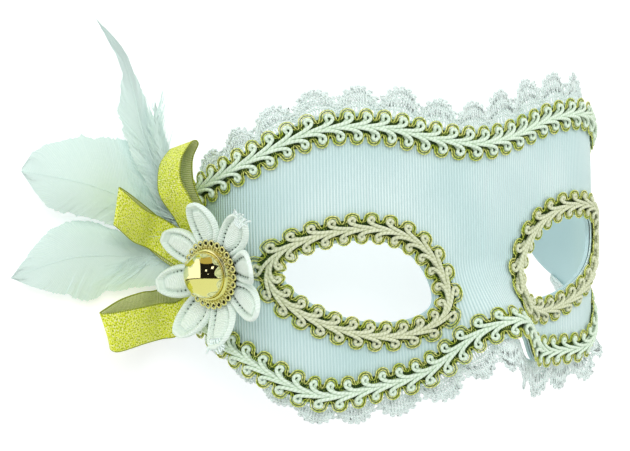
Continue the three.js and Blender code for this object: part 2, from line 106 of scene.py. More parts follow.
def stand(thing, side, up, back, place):
    """Sets a camera or lamp by its own three axes and its place, in metres."""
    turned = np.eye(4)
    turned[:3] = np.stack([side, up, back, place], -1)
    thing.matrix_world = Matrix(turned.tolist())


look = unit(CAMERA_AIM - CAMERA_PLACE)
level = unit(np.cross(look, [0, 1, 0]))
upright = np.cross(level, look)
right = level * math.cos(CAMERA_ROLL) + upright * math.sin(CAMERA_ROLL)
top = upright * math.cos(CAMERA_ROLL) - level * math.sin(CAMERA_ROLL)
camera_data = bpy.data.cameras.new("camera")
camera_data.sensor_width = SENSOR
camera_data.lens = FOCAL_PIXELS * SENSOR / IMAGE_WIDTH
camera_data.clip_start = CLIP_NEAR
camera = linked("camera", camera_data)
stand(camera, right, top, -look, metres(CAMERA_PLACE))
bpy.context.scene.camera = camera
print("lens in mm:", round(camera_data.lens, 2))

# %% [markdown]
# ## The face
# The mask bends round the head, and its nose ridge rises towards the lower edge. A place on it is
# (u, y): u is the arc length round the face from the middle line and y the height. A table of the
# section, added up in small steps, turns u into x and z, and everything is worked out as arrays.

# %% The face as a function of u, y and a distance out of it
FACE_DEPTH = 58.0
CHEEK_ANGLE, TEMPLE_ANGLE = 9.0, 87.0
MIDDLE_RUN = 5.0
BEND_START, BEND_END = 36.4, 100.8
BOW, BOW_MIDDLE = 5e-6, -4.5
SECTION_STEP, SECTION_LENGTH = 0.5, 130.0
NOSE_TOP, NOSE_RISE, NOSE_RUN = 4.0, 17.0, 16.6
NOSE_HEIGHTS, NOSE_WIDTHS = (-30.0, 20.0), (17.0, 9.5)
SLOPE_STEP = 0.1


def eased(value, low, high):
    """A step from 0 at low to 1 at high with level ends: 3t^2 - 2t^3."""
    t = np.clip((np.asarray(value, float) - low) / (high - low), 0, 1)
    return t * t * (3 - 2 * t)


def section_angle(arc):
    """Angle from the front, in radians: a cheek angle that starts at once and the temple's bend."""
    cheek = CHEEK_ANGLE * (1 - np.exp(-arc / MIDDLE_RUN))
    return np.radians(cheek + (TEMPLE_ANGLE - CHEEK_ANGLE) * eased(arc, BEND_START, BEND_END))


section_arc = np.arange(0, SECTION_LENGTH + SECTION_STEP / 2, SECTION_STEP)
step_angle = section_angle(section_arc[1:] - SECTION_STEP / 2)
section_x = np.concatenate([[0], np.cumsum(SECTION_STEP * np.cos(step_angle))])
section_z = FACE_DEPTH - np.concatenate([[0], np.cumsum(SECTION_STEP * np.sin(step_angle))])
TEMPLE_END = float(np.interp(0, section_z[::-1], section_arc[::-1]))


def face(u, y, d=0.0):
    """Points of the face: the section at arc |u|, scaled by the bow, plus d along the section's
    normal, plus the nose ridge, a Gaussian across x that rises as 1 - exp(-t^2) down the face."""
    u, y, d = np.broadcast_arrays(np.asarray(u, float), y, d)
    arc = np.abs(u)
    angle = section_angle(arc)
    x = np.interp(arc, section_arc, section_x)
    z = np.interp(arc, section_arc, section_z)
    bow = 1 - BOW * (y - BOW_MIDDLE) ** 2
    drop = np.maximum(NOSE_TOP - y, 0) / NOSE_RUN
    width = np.interp(y, NOSE_HEIGHTS, NOSE_WIDTHS)
    ridge = NOSE_RISE * (1 - np.exp(-drop * drop)) * np.exp(-((x / width) ** 2))
    across = np.sign(u) * (x * bow + d * np.sin(angle))
    return np.stack([across, y, np.maximum(z * bow + d * np.cos(angle) + ridge, 0)], -1)


def face_slopes(u, y):
    """Change of the face's point per millimetre of u and of y, by central differences."""
    along = (face(u + SLOPE_STEP, y) - face(u - SLOPE_STEP, y)) / (2 * SLOPE_STEP)
    rise = (face(u, y + SLOPE_STEP) - face(u, y - SLOPE_STEP)) / (2 * SLOPE_STEP)
    return along, rise


def face_normal(u, y):
    """The unit vector out of the face: the cross product of its two slopes."""
    return unit(np.cross(*face_slopes(u, y)))


print("temple end at", round(TEMPLE_END, 2), "mm of arc")

# %% [markdown]
# ## Lines on the face
# Braids and lace follow lines. A line is kept as even steps of (u, y) with the step in (u, y) that
# goes one millimetre to its left, so a place beside it and above it is one sum away.


# %% A line on the face
STEPS_PER_MM = 2


class FaceLine:
    """A line on the face, cut into even steps of about half a millimetre."""

    def __init__(self, u, y, closed):
        if closed:
            u, y = np.append(u, u[0]), np.append(y, y[0])
        points = face(u, y)
        far = np.concatenate([[0], np.cumsum(np.linalg.norm(np.diff(points, axis=0), axis=1))])
        self.closed = closed
        self.length = far[-1]
        self.s = np.linspace(0, self.length, int(self.length * STEPS_PER_MM) + 1)
        self.u, self.y = np.interp(self.s, far, u), np.interp(self.s, far, y)
        if closed:
            du = np.roll(self.u[:-1], -1) - np.roll(self.u[:-1], 1)
            dy = np.roll(self.y[:-1], -1) - np.roll(self.y[:-1], 1)
            du, dy = np.append(du, du[0]), np.append(dy, dy[0])
        else:
            du, dy = np.gradient(self.u), np.gradient(self.y)
        along, rise = face_slopes(self.u, self.y)
        travel = along * du[:, None] + rise * dy[:, None]
        left_u = -np.sum(travel * rise, axis=1)
        left_y = np.sum(travel * along, axis=1)
        size = np.linalg.norm(along * left_u[:, None] + rise * left_y[:, None], axis=1)
        self.left_u, self.left_y = left_u / size, left_y / size

    def at(self, s, across=0.0, high=0.0):
        """Points s along the line, across to its left and high above the face, and the normals
        there."""
        s = np.mod(s, self.length) if self.closed else np.asarray(s, float)
        s, across, high = np.broadcast_arrays(s, across, high)
        u = np.interp(s, self.s, self.u) + across * np.interp(s, self.s, self.left_u)
        y = np.interp(s, self.s, self.y) + across * np.interp(s, self.s, self.left_y)
        normal = face_normal(u, y)
        return face(u, y) + normal * high[..., None], normal


# %% [markdown]
# ## The outline and the eyes
# The upper and the lower edge are smooth functions through a few measured heights, and the temple
# corners are rounded by a quarter of an ellipse. The eye is a tilted oval with a pointed outer
# corner, written as a short Fourier sum, so that it can be moved outwards along its own normal.

# %% Edges and eye openings
UPPER_EDGE = [(0, 43.9), (15, 45.7), (35, 50), (55, 49.7), (75, 40.9), (95, 31.4), (112, 25)]
LOWER_EDGE = [(0, -19.6), (9, -22), (22, -32.6), (38, -35.8), (56, -36.2), (76, -26.1),
              (95, -17.2), (112, -11)]
CORNER_RUN, TEMPLE_FLAT = 14.0, 0.62
EYE_U, EYE_Y, EYE_TILT = 38.4, -0.7, math.radians(14.8)
EYE_LENGTH, EYE_HEIGHT = 24.2, 11.3
EYE_STRETCH, EYE_SLANT, EYE_DROP, EYE_PINCH = 2.7, 0.67, -1.14, -0.53


def through(stations, position):
    """A cubic Hermite curve through the stations, level at the first, with each later slope taken
    between the neighbours."""
    at, value = np.array(stations, float).T
    slope = np.zeros(len(at))
    after = np.minimum(np.arange(1, len(at)) + 1, len(at) - 1)
    slope[1:] = (value[after] - value[:-1]) / (at[after] - at[:-1])
    s = np.minimum(np.abs(position), at[-1])
    i = np.clip(np.searchsorted(at, s, side="right") - 1, 0, len(at) - 2)
    run = at[i + 1] - at[i]
    t = (s - at[i]) / run
    bends = t * (1 - t) * (1 - t) * run * slope[i] + t * t * (t - 1) * run * slope[i + 1]
    return value[i] + (value[i + 1] - value[i]) * t * t * (3 - 2 * t) + bends


def outline(arc, inset=0.0):
    """Middle and half height of the mask at an arc length, moved inwards by an inset. The half
    height shrinks over the last millimetres as a quarter of an ellipse."""
    high, low = through(UPPER_EDGE, arc), through(LOWER_EDGE, arc)
    t = np.clip((arc - (TEMPLE_END - inset - CORNER_RUN)) / CORNER_RUN, 0, 1)
    rounded = TEMPLE_FLAT + (1 - TEMPLE_FLAT) * np.sqrt(1 - t * t)
    return (high + low) / 2, ((high - low) / 2 - inset) * rounded


def edge_quarter(inset):
    """Arc lengths from the middle line to the temple, close together round the corner."""
    corner = TEMPLE_END - inset - CORNER_RUN
    turn = np.radians(np.arange(0, 91, 3))
    return np.concatenate([np.arange(0, corner, 0.5), corner + CORNER_RUN * np.sin(turn)])


def edge_loop(inset):
    """The mask's whole outline, clockwise from the brow."""
    arc = edge_quarter(inset)
    middle, half = outline(arc, inset)
    u = np.concatenate([arc, arc[::-1], -arc[1:], -arc[::-1][:-1]])
    y = np.concatenate([
        middle + half, (middle - half)[::-1], (middle - half)[1:], (middle + half)[::-1][:-1],
    ])
    return u, y


def eye_loop(side, outset, count=240):
    """The eye opening moved outwards by an outset, clockwise: an ellipse with cos 2t, sin 2t and
    sin 3t terms, tilted, on one side of the face."""
    t = -2 * np.pi * np.arange(count) / count
    x = EYE_LENGTH * np.cos(t) + EYE_STRETCH * np.cos(2 * t)
    y = EYE_HEIGHT * np.sin(t) + EYE_SLANT * np.sin(2 * t)
    y = y + EYE_DROP * np.cos(2 * t) + EYE_PINCH * np.sin(3 * t)
    dx = -EYE_LENGTH * np.sin(t) - 2 * EYE_STRETCH * np.sin(2 * t)
    dy = EYE_HEIGHT * np.cos(t) + 2 * EYE_SLANT * np.cos(2 * t)
    dy = dy - 2 * EYE_DROP * np.sin(2 * t) + 3 * EYE_PINCH * np.cos(3 * t)
    size = np.hypot(dx, dy)
    x, y = x + outset * dy / size, y - outset * dx / size
    u = side * (EYE_U + x * math.cos(EYE_TILT) - y * math.sin(EYE_TILT))
    y = EYE_Y + x * math.sin(EYE_TILT) + y * math.cos(EYE_TILT)
    return (u[::-1], y[::-1]) if side < 0 else (u, y)


print("edge loop in mm:", round(FaceLine(*edge_loop(0), closed=True).length, 1))

# %% [markdown]
# ## From arrays to a mesh
# Every piece is a grid of points or a set of tubes. The grid's quads, their texture places and the
# mesh data go in as whole arrays, which takes a fraction of a second even for a long braid.


# %% Mesh helpers
def grid_quads(rows, columns, wrap_rows=False, wrap_columns=False):
    """Corners of the quads of a grid, as point numbers and as (row, column) places that don't jump
    back at a seam."""
    r = np.arange(rows if wrap_rows else rows - 1)
    c = np.arange(columns if wrap_columns else columns - 1)
    r, c = np.meshgrid(r, c, indexing="ij")
    places = np.stack([
        np.stack([r, r + 1, r + 1, r], -1), np.stack([c, c, c + 1, c + 1], -1),
    ], -1).reshape(-1, 4, 2)
    numbers = (places[..., 0] % rows) * columns + places[..., 1] % columns
    return numbers, places


def make_piece(name, points, quads, finish, uv=None, merge=0.0, stands_for=()):
    """A smooth mesh from points in the mask's millimetres and quads, with its texture places and its
    finish, hung under the root body, with the solids that it stands for hidden."""
    mesh = bpy.data.meshes.new(name)
    points = metres(np.asarray(points).reshape(-1, 3))
    quads = np.asarray(quads).reshape(-1, 4)
    mesh.vertices.add(len(points))
    mesh.vertices.foreach_set("co", points.ravel())
    mesh.loops.add(quads.size)
    mesh.loops.foreach_set("vertex_index", quads.ravel())
    mesh.polygons.add(len(quads))
    mesh.polygons.foreach_set("loop_start", np.arange(0, quads.size, 4))
    mesh.polygons.foreach_set("loop_total", np.full(len(quads), 4))
    if uv is not None:
        layer = mesh.uv_layers.new(name="surface")
        layer.data.foreach_set("uv", np.asarray(uv, float).reshape(-1, 2).ravel())
    mesh.update(calc_edges=True)
    if merge:
        work = bmesh.new()
        work.from_mesh(mesh)
        bmesh.ops.remove_doubles(work, verts=work.verts, dist=merge / 1000)
        bmesh.ops.dissolve_degenerate(work, edges=work.edges, dist=1e-7)
        work.to_mesh(mesh)
        work.free()
    mesh.validate()
    mesh.polygons.foreach_set("use_smooth", np.ones(len(mesh.polygons), bool))
    piece = linked(name, mesh)
    mesh.materials.append(finish)
    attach(piece, "root")
    if stands_for:
        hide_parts(*stands_for)
    print(name, "faces:", len(mesh.polygons))
    return piece


def spline(points, steps, closed=False):
    """A Catmull-Rom curve through points along the second last axis, with a number of steps to
    each span: the cubic that takes each slope from its neighbours."""
    points = np.asarray(points, float)
    if closed:
        before, here = np.roll(points, 1, axis=-2), points
        after, beyond = np.roll(points, -1, axis=-2), np.roll(points, -2, axis=-2)
    else:
        first = 2 * points[..., :1, :] - points[..., 1:2, :]
        last = 2 * points[..., -1:, :] - points[..., -2:-1, :]
        padded = np.concatenate([first, points, last], axis=-2)
        before, here = padded[..., :-3, :], padded[..., 1:-2, :]
        after, beyond = padded[..., 2:-1, :], padded[..., 3:, :]
    t = (np.arange(steps) / steps)[:, None]
    before, here, after, beyond = (p[..., None, :] for p in (before, here, after, beyond))
    curve = 0.5 * (
        2 * here + (after - before) * t
        + (2 * before - 5 * here + 4 * after - beyond) * t ** 2
        + (3 * here - before - 3 * after + beyond) * t ** 3
    )
    curve = curve.reshape(points.shape[:-2] + (-1, points.shape[-1]))
    return curve if closed else np.concatenate([curve, points[..., -1:, :]], axis=-2)


def tubes(paths, normals, half_width, half_height, sides, closed=False):
    """Tubes along many paths at once. Each ring is an ellipse across the path: half_width beside
    it and half_height along the surface's normal. Open ends are capped with quads. Returns points,
    quads and texture places in millimetres along and around."""
    paths = np.asarray(paths, float)
    if paths.ndim == 2:
        paths, normals = paths[None], np.asarray(normals)[None]
    count, samples = paths.shape[:2]
    if closed:
        ahead = np.roll(paths, -1, axis=1) - np.roll(paths, 1, axis=1)
    else:
        ahead = np.gradient(paths, axis=1)
    ahead = unit(ahead)
    beside = unit(np.cross(normals, ahead))
    above = np.cross(ahead, beside)
    turn = 2 * np.pi * (np.arange(sides) + 0.5) / sides
    wide = np.broadcast_to(half_width, (count, samples))[..., None, None]
    tall = np.broadcast_to(half_height, (count, samples))[..., None, None]
    points = (
        paths[:, :, None]
        + beside[:, :, None] * np.cos(turn)[:, None] * wide
        + above[:, :, None] * np.sin(turn)[:, None] * tall
    )
    quads, places = (corners[:, ::-1] for corners in grid_quads(samples, sides, closed, True))
    gaps = np.linalg.norm(np.roll(paths, -1, axis=1) - paths, axis=2)
    far = np.concatenate([np.zeros((count, 1)), np.cumsum(gaps, axis=1)], axis=1)
    around = 2 * np.pi * float(np.mean(half_width)) / sides
    uv = np.stack([far[:, places[..., 0]], np.broadcast_to(places[..., 1] * around,
                                                          (count,) + places.shape[:2])], -1)
    if not closed:
        fan = np.arange(1, sides - 2, 2)
        low = np.stack([0 * fan, fan, fan + 1, fan + 2], -1)
        high = (samples - 1) * sides + low[:, ::-1]
        quads = np.concatenate([quads, low, high])
        uv = np.concatenate([uv, np.zeros((count, 2 * len(fan), 4, 2))], axis=1)
    quads = quads[None] + (np.arange(count) * samples * sides)[:, None, None]
    return points.reshape(-1, 3), quads.reshape(-1, 4), uv.reshape(-1, 4, 2)


def together(parts):
    """One set of points, quads and texture places from several."""
    points, quads, uvs, start = [], [], [], 0
    for p, q, uv in parts:
        points.append(p)
        quads.append(q + start)
        uvs.append(uv)
        start += len(p)
    return np.concatenate(points), np.concatenate(quads), np.concatenate(uvs)


# %% [markdown]
# ## Finishes
# A finish is a small node tree. To keep its arithmetic readable, a socket is wrapped in a class with
# Python's operators, and every other node comes from one method. Patterns read the piece's own
# texture places, in millimetres, or Object coordinates.


# %% A small language for finishes
TURN = 2 * math.pi


class Socket:
    """An output of a node. Arithmetic on it adds Math nodes."""

    def __init__(self, finish, output):
        self.finish = finish
        self.output = output

    def math(self, operation, *values):
        """The result of a Math node."""
        return self.finish.node("ShaderNodeMath", {"operation": operation}, values)[0]

    def __add__(self, other):
        return self.math("ADD", self, other)

    __radd__ = __add__

    def __mul__(self, other):
        return self.math("MULTIPLY", self, other)

    __rmul__ = __mul__

    def __sub__(self, other):
        return self.math("SUBTRACT", self, other)

    def __rsub__(self, other):
        return self.math("SUBTRACT", other, self)

    def __pow__(self, other):
        return self.math("POWER", self, other)

    def sine(self):
        return self.math("SINE", self)

    def wave(self):
        """The sine of the number, halved and raised to run from 0 to 1."""
        return self.sine() * 0.5 + 0.5

    def clamped(self):
        """The number held between 0 and 1."""
        return self.finish.node("ShaderNodeClamp", None, [self])[0]

    def absolute(self):
        return self.math("ABSOLUTE", self)

    def above(self, other):
        return self.math("GREATER_THAN", self, other)


class Finish:
    """A material with a Principled surface, built node by node."""

    def __init__(self, name, **constants):
        self.material = bpy.data.materials.new(name)
        self.material.use_nodes = True
        self.nodes = self.material.node_tree.nodes
        self.links = self.material.node_tree.links
        self.surface = self.nodes["Principled BSDF"]
        self.wear(**constants)

    def put(self, socket, value):
        """Links a Socket to a node's input, or sets a number, a vector or a colour on it."""
        if isinstance(value, Socket):
            self.links.new(value.output, socket)
        elif socket.type == "RGBA":
            socket.default_value = (*value, 1)
        else:
            socket.default_value = value

    def node(self, kind, settings=None, values=()):
        """A node of a type: its settings are set first, then the values or links of its sockets,
        by place in a tuple or by name or number in a dictionary. Returns its outputs."""
        made = self.nodes.new(kind)
        for key, value in (settings or {}).items():
            setattr(made, key, value)
        pairs = values.items() if isinstance(values, dict) else enumerate(values)
        for key, value in pairs:
            self.put(made.inputs[key], value)
        return [Socket(self, output) for output in made.outputs]

    def surface_places(self):
        """The piece's own texture places in millimetres, as a vector and as two numbers."""
        place = self.node("ShaderNodeUVMap", {"uv_map": "surface"})[0]
        along, around, _ = self.node("ShaderNodeSeparateXYZ", None, [place])
        return place, along, around

    def object_places(self):
        """Object coordinates, in metres."""
        return self.node("ShaderNodeTexCoord")[3]

    def noise(self, places, scale, detail=3.0, roughness=0.5, stretch=None):
        """Noise with a scale in cycles per unit of the places, stretched by a Mapping node."""
        if stretch:
            places = self.node("ShaderNodeMapping", None, {"Vector": places, "Scale": stretch})[0]
        return self.node("ShaderNodeTexNoise", None, {
            "Vector": places, "Scale": scale, "Detail": detail, "Roughness": roughness,
        })[0]

    def mix(self, share, first, second):
        """A colour between the first, at share 0, and the second, at share 1."""
        return self.node("ShaderNodeMix", {"data_type": "RGBA"}, {0: share, 6: first, 7: second})[2]

    def bump(self, height, distance, strength=1.0):
        """A bump from a height between 0 and 1, with its full height in metres."""
        return self.node("ShaderNodeBump", None, {
            "Height": height, "Distance": distance, "Strength": strength,
        })[0]

    def wear(self, **sockets):
        """Sets or links inputs of the surface, with _ for the spaces in their names."""
        for name, value in sockets.items():
            self.put(self.surface.inputs[name.replace("_", " ")], value)
        return self.material


# %% [markdown]
# ## White ribbed satin
# The cover is a ribbed satin: fine cords of weft run up and down the face about a millimetre apart,
# with a soft sheen. The ribs are a sine of the arc length, and a finer sine across them is the warp.

# %% Satin finish
RIB_PITCH, WARP_PITCH = 0.95, 0.5


def satin_finish():
    """Ribs with dark grooves, a slow cloud of painted shade in two tones and small darker specks."""
    finish = Finish("white_ribbed_satin", Sheen_Weight=0.25, Sheen_Roughness=0.4)
    places, along, height = finish.surface_places()
    sway = finish.noise(places, 0.06, 2) - 0.5
    rib = (along * (TURN / RIB_PITCH) + sway * 1.2).wave()
    warp = (height * (TURN / WARP_PITCH)).wave()
    fine = finish.noise(places, 2.2, 3, stretch=(1, 0.25, 1))
    weave = rib * 0.8 + warp * 0.12 + fine * 0.15
    # painted shade: a slow cloud darkens broad patches of the satin
    cloud = (finish.noise(places, 0.03, 1) * 3.0 - 1.0).clamped()
    base = finish.mix(cloud, (0.55, 0.75, 0.75), (0.76, 0.91, 0.90))
    pin = finish.noise(places, 1.1, 1, stretch=(1, 0.5, 1))
    base = finish.mix(pin * 0.2, base, (0.50, 0.68, 0.68))
    colour = finish.mix(rib ** 0.55, (0.46, 0.65, 0.65), base)
    return finish.wear(Base_Color=colour, Normal=finish.bump(weave, 0.00022),
                       Roughness=0.5 - rib * 0.12)


SATIN = satin_finish()

# %% [markdown]
# ## Cover and shell
# Half of the mask is a ring round one eye: every straight line out of the eye's centre meets the
# opening once and the outline once. So a grid of angles by steps outwards covers it, and the two
# halves are joined on the middle line. The same grid on two depths, with walls between them, gives a
# closed sheet.

# %% Satin cover and moulded shell
SATIN_LAYER = (-0.5, 0.0)
SHELL_LAYER = (-2.0, -0.8)
RING_STEPS = 26
SIDE_STEPS = 58  # points on the middle line and on a temple's end
CRISP_ANGLE = math.radians(65)
HIDDEN_EDGE = 1.5  # the sheets end this far inside the outline, under the braid's curls


def half_ring():
    """Inner and outer (u, y) for every angle about the eye's centre, and which outer spans lie on
    the middle line."""
    arc = edge_quarter(0)[::2]
    middle, half = outline(arc)
    half = half - HIDDEN_EDGE
    side = np.linspace(0, 1, SIDE_STEPS + 2)[1:-1]
    y0, y1 = middle[0] - half[0], middle[0] + half[0]
    end_low, end_high = middle[-1] - half[-1], middle[-1] + half[-1]
    u = np.concatenate([np.zeros(SIDE_STEPS), arc, np.full(SIDE_STEPS, arc[-1]), arc[::-1]])
    y = np.concatenate([
        y0 + (y1 - y0) * side, middle + half, end_high + (end_low - end_high) * side,
        (middle - half)[::-1],
    ])
    angle = np.unwrap(np.arctan2(y - EYE_Y, u - EYE_U))
    inner_u, inner_y = eye_loop(1, 0, 720)
    inner_angle = np.unwrap(np.arctan2(inner_y - EYE_Y, inner_u - EYE_U))
    order = np.argsort(np.mod(inner_angle, 2 * np.pi))
    table = np.mod(inner_angle, 2 * np.pi)[order]
    radius = np.hypot(inner_u - EYE_U, inner_y - EYE_Y)[order]
    reach = np.interp(np.mod(angle, 2 * np.pi), table, radius, period=2 * np.pi)
    iu, iy = EYE_U + reach * np.cos(angle), EYE_Y + reach * np.sin(angle)
    on_middle = np.isclose(u, 0) & np.isclose(np.roll(u, -1), 0)
    return iu, iy, u, y, on_middle


def face_sheet(layer):
    """A closed sheet over the whole face between two distances out of it."""
    iu, iy, ou, oy, on_middle = half_ring()
    angles, columns = len(iu), RING_STEPS + 1
    t = np.linspace(0, 1, columns)
    parts = []
    for side in (1, -1):
        u = side * (iu[:, None] + (ou - iu)[:, None] * t)
        y = iy[:, None] + (oy - iy)[:, None] * t
        quads, _ = grid_quads(angles, columns, wrap_rows=True)
        if side < 0:
            quads = quads[:, ::-1]
        size = angles * columns
        inner, outer = (face(u, y, d).reshape(-1, 3) for d in layer)
        edges = []
        for column, keep in ((0, np.ones(angles, bool)), (columns - 1, ~on_middle)):
            here = (np.arange(angles) * columns + column)[keep]
            after = ((np.arange(angles) + 1) % angles * columns + column)[keep]
            wall = np.stack([here, after, after + size, here + size], -1)
            if (column == 0) != (side < 0):
                wall = wall[:, ::-1]
            edges.append(wall)
        all_quads = np.concatenate([quads, quads[:, ::-1] + size, *edges])
        places = np.stack([u.ravel(), y.ravel()], -1)
        places = np.concatenate([places, places])
        parts.append((np.concatenate([outer, inner]), all_quads, places[all_quads]))
    return together(parts)


def facing_out(piece):
    """Turns a closed piece's faces outwards, after its doubles are merged, and keeps the edges of a
    thin sheet crisp, so that smooth shading doesn't darken its rim."""
    work = bmesh.new()
    work.from_mesh(piece.data)
    bmesh.ops.recalc_face_normals(work, faces=work.faces)
    work.to_mesh(piece.data)
    work.free()
    piece.data.set_sharp_from_angle(angle=CRISP_ANGLE)
    return piece


points, quads, uv = face_sheet(SATIN_LAYER)
satin = facing_out(make_piece("satin_face", points, quads, SATIN, uv, merge=0.01,
                              stands_for=["satin_cover"]))
_, edge_y = edge_loop(0)
cut = (2 * TEMPLE_END / 1000, (edge_y.max() - edge_y.min() - 2 * HIDDEN_EDGE) / 1000)
print("satin cut in mm:", [round(side * 1000, 1) for side in cut])

# %% [markdown]
# ## Moulded plastic
# Inside, the mask is smooth vacuum-formed plastic with a faint orange peel.

# %% Shell
def plastic_finish():
    """Smooth plastic with a faint orange peel and a cloud of two tones."""
    finish = Finish("white_moulded_plastic")
    places = finish.object_places()
    peel = finish.noise(places, 900, 2)
    cloud = finish.noise(places, 40, 2)
    colour = finish.mix(cloud, (0.44, 0.63, 0.65), (0.54, 0.72, 0.74))
    return finish.wear(Base_Color=colour, Normal=finish.bump(peel, 0.00004),
                       Roughness=cloud * 0.12 + 0.32)


PLASTIC = plastic_finish()
points, quads, uv = face_sheet(SHELL_LAYER)
facing_out(make_piece("moulded_shell", points, quads, PLASTIC, uv, merge=0.01,
                      stands_for=["mask_shell"]))

# %% [markdown]
# ## Gimp braid
# The braid is two cords, mint round the edge and cream round the eyes, laid over a gold ground. Each
# cord runs slanting from the middle line outwards, ends in a small curl near the side, and goes back
# under to the other side, so the top shows a plait of strands with a row of curls on each side.
# Three fine wires run round each curl, a pale one, a dark one and a pale one.
# One repeat of a cord is a spline through a few stations, in millimetres along, across and above the
# face. It is repeated as an array and mapped on the line of the braid.

# %% Cord and gold finishes
def cord_finish(name, dark, middle, bright):
    """A smooth rayon cord: a faint twist and a slow change of tone between three colours."""
    finish = Finish(name, Roughness=0.5, Sheen_Weight=0.2)
    _, along, around = finish.surface_places()
    twist = (along * 5.2 + around * 2.6).wave()
    tone = finish.noise(finish.object_places(), 260, 3)
    light = finish.mix(tone, middle, bright)
    colour = finish.mix(twist ** 0.22, dark, light)
    return finish.wear(Base_Color=colour, Normal=finish.bump(twist, 0.00005))


WIRE_ROW = 20.0  # step of the texture place from one wire to the next
GROUND_PITCH = 0.62


def wire_finish():
    """The wires round a curl are told apart by their texture place: the second is dark."""
    finish = Finish("gold_wire", Metallic=0.15)
    _, along, around = finish.surface_places()
    twist = (along * 5.0 + around * 4.0).wave()
    tone = finish.noise(finish.object_places(), 520, 2)
    patch = ((tone - 0.36) * 5.0).clamped()
    light = finish.mix(patch, (0.62, 0.76, 0.06), (1.0, 1.0, 0.34))
    dark = around.above(WIRE_ROW * 0.5) - around.above(WIRE_ROW * 1.5)
    light = finish.mix(dark * 0.9, light, (0.05, 0.08, 0.004))
    colour = finish.mix(twist ** 0.3, (0.20, 0.28, 0.015), light)
    return finish.wear(Base_Color=colour, Normal=finish.bump(twist, 0.00012),
                       Roughness=tone * 0.25 + 0.25)


def ground_and_shade_finish():
    """A ribbed ground of bright gold flecks on near black: painted shade for the gaps between cords.
    """
    finish = Finish("gold_ground_and_painted_shade", Metallic=0.1)
    _, along, _ = finish.surface_places()
    rib = (along * (TURN / GROUND_PITCH)).wave()
    tone = finish.noise(finish.object_places(), 600, 3)
    fleck = ((tone - 0.5) * 6.0).clamped()
    # painted shade: near black between the flecks and in the rib grooves, for the dark gaps between
    # the cords
    light = finish.mix(fleck, (0.06, 0.13, 0.012), (0.78, 0.98, 0.20))
    colour = finish.mix(rib ** 1.4, (0.01, 0.03, 0.006), light)
    return finish.wear(Base_Color=colour, Normal=finish.bump(rib, 0.0002),
                       Roughness=tone * 0.3 + 0.35)


RIM_CORD = cord_finish("mint_cord", (0.46, 0.60, 0.40), (0.64, 0.80, 0.62), (0.84, 0.96, 0.84))
EYE_CORD = cord_finish("cream_cord", (0.40, 0.43, 0.22), (0.58, 0.63, 0.40), (0.80, 0.85, 0.64))
GOLD_WIRE, GOLD_GROUND_AND_SHADE = wire_finish(), ground_and_shade_finish()

# %% Braid
EDGE_BRAID = {"half": 5.0, "inset": 5.2}
EYE_BRAID = {"half": 4.4, "outset": 3.6, "tail": 2.5, "tail_run": 4.0}
CORD_REPEAT = 11.0
REPEAT_NEAR, REPEAT_FAR = 11.0, 13.0  # the braid is laid looser towards the plain temple,
LOOSER_FROM, LOOSER_TO = -70, 60  # over these places across the mask
CORD_RADIUS = 0.54
WIRE_RADIUS = 0.19
WIRE_ROUNDS = (1.5, 1.88, 2.26)  # radii of the wires round a curl
CORD_STEPS, CORD_SIDES = 4, 6
WIRE_STEPS, WIRE_SIDES = 3, 4
GROUND_STEP, GROUND_UV_STEP = 1.2, 1.5
GROUND_PROFILE = [(2.9, 0.1), (2.9, 0.4), (1.5, 0.5), (0, 0.5), (-1.5, 0.5), (-2.9, 0.4),
                  (-2.9, 0.1), (0, 0.1)]
STITCH = np.array([
    (-3.8, -0.55, 1.0), (-0.8, -0.05, 1.65), (2.0, 0.4, 2.0), (4.5, 0.85, 2.15), (6.2, 1.4, 2.0),
    (7.2, 2.1, 1.7), (7.35, 2.95, 1.45), (6.5, 3.6, 1.3), (5.75, 2.95, 1.2), (6.0, 2.1, 1.0),
    (5.4, 1.2, 0.6), (3.8, 0.3, 0.45),
])
OTHER_SIDE = 0.75  # share of a repeat between a stitch and the one on the other side
CURL = (6.3, 2.9)
BRAID_HALF = 5.0  # half width that the stations are drawn for


def cord_path(repeats, offset, steps):
    """Stations of one cord: a stitch on the left and its mirror image on the right in each repeat,
    as a closed spline."""
    mirrored = STITCH * (1, -1, 1) + (CORD_REPEAT * OTHER_SIDE, 0, 0)
    one = np.concatenate([STITCH, mirrored])
    starts = (np.arange(repeats) * CORD_REPEAT + offset)[:, None]
    stations = np.tile(one, (repeats, 1, 1))
    stations[..., 0] += starts
    stations = stations.reshape(-1, 3)
    # the last span goes round to the first station, one whole line further on
    around = np.concatenate([stations[-1:] - (repeats * CORD_REPEAT, 0, 0), stations,
                             stations[:2] + (repeats * CORD_REPEAT, 0, 0)])
    return spline(around, steps)[steps:-steps - 1]


def wire_path(repeats, offset, radius, side, steps):
    """A gold wire round each curl on one side, dipping towards the middle between curls."""
    pitch = CORD_REPEAT / 2
    one = np.array([
        (-pitch / 2, 1.9, 0.55), (-radius, 2.5, 0.85),
        (-0.75 * radius, CURL[1] + 0.66 * radius, 0.9), (0, CURL[1] + radius, 0.95),
        (0.75 * radius, CURL[1] + 0.66 * radius, 0.9), (radius, 2.5, 0.85),
    ])
    count = 2 * repeats
    stations = np.tile(one * (1, side, 1), (count, 1, 1))
    stations[..., 0] += (np.arange(count) * pitch + CURL[0] + offset)[:, None]
    stations = stations.reshape(-1, 3)
    whole = (repeats * CORD_REPEAT, 0, 0)
    around = np.concatenate([stations[-1:] - whole, stations, stations[:2] + whole])
    return spline(around, steps)[steps:-steps - 1]


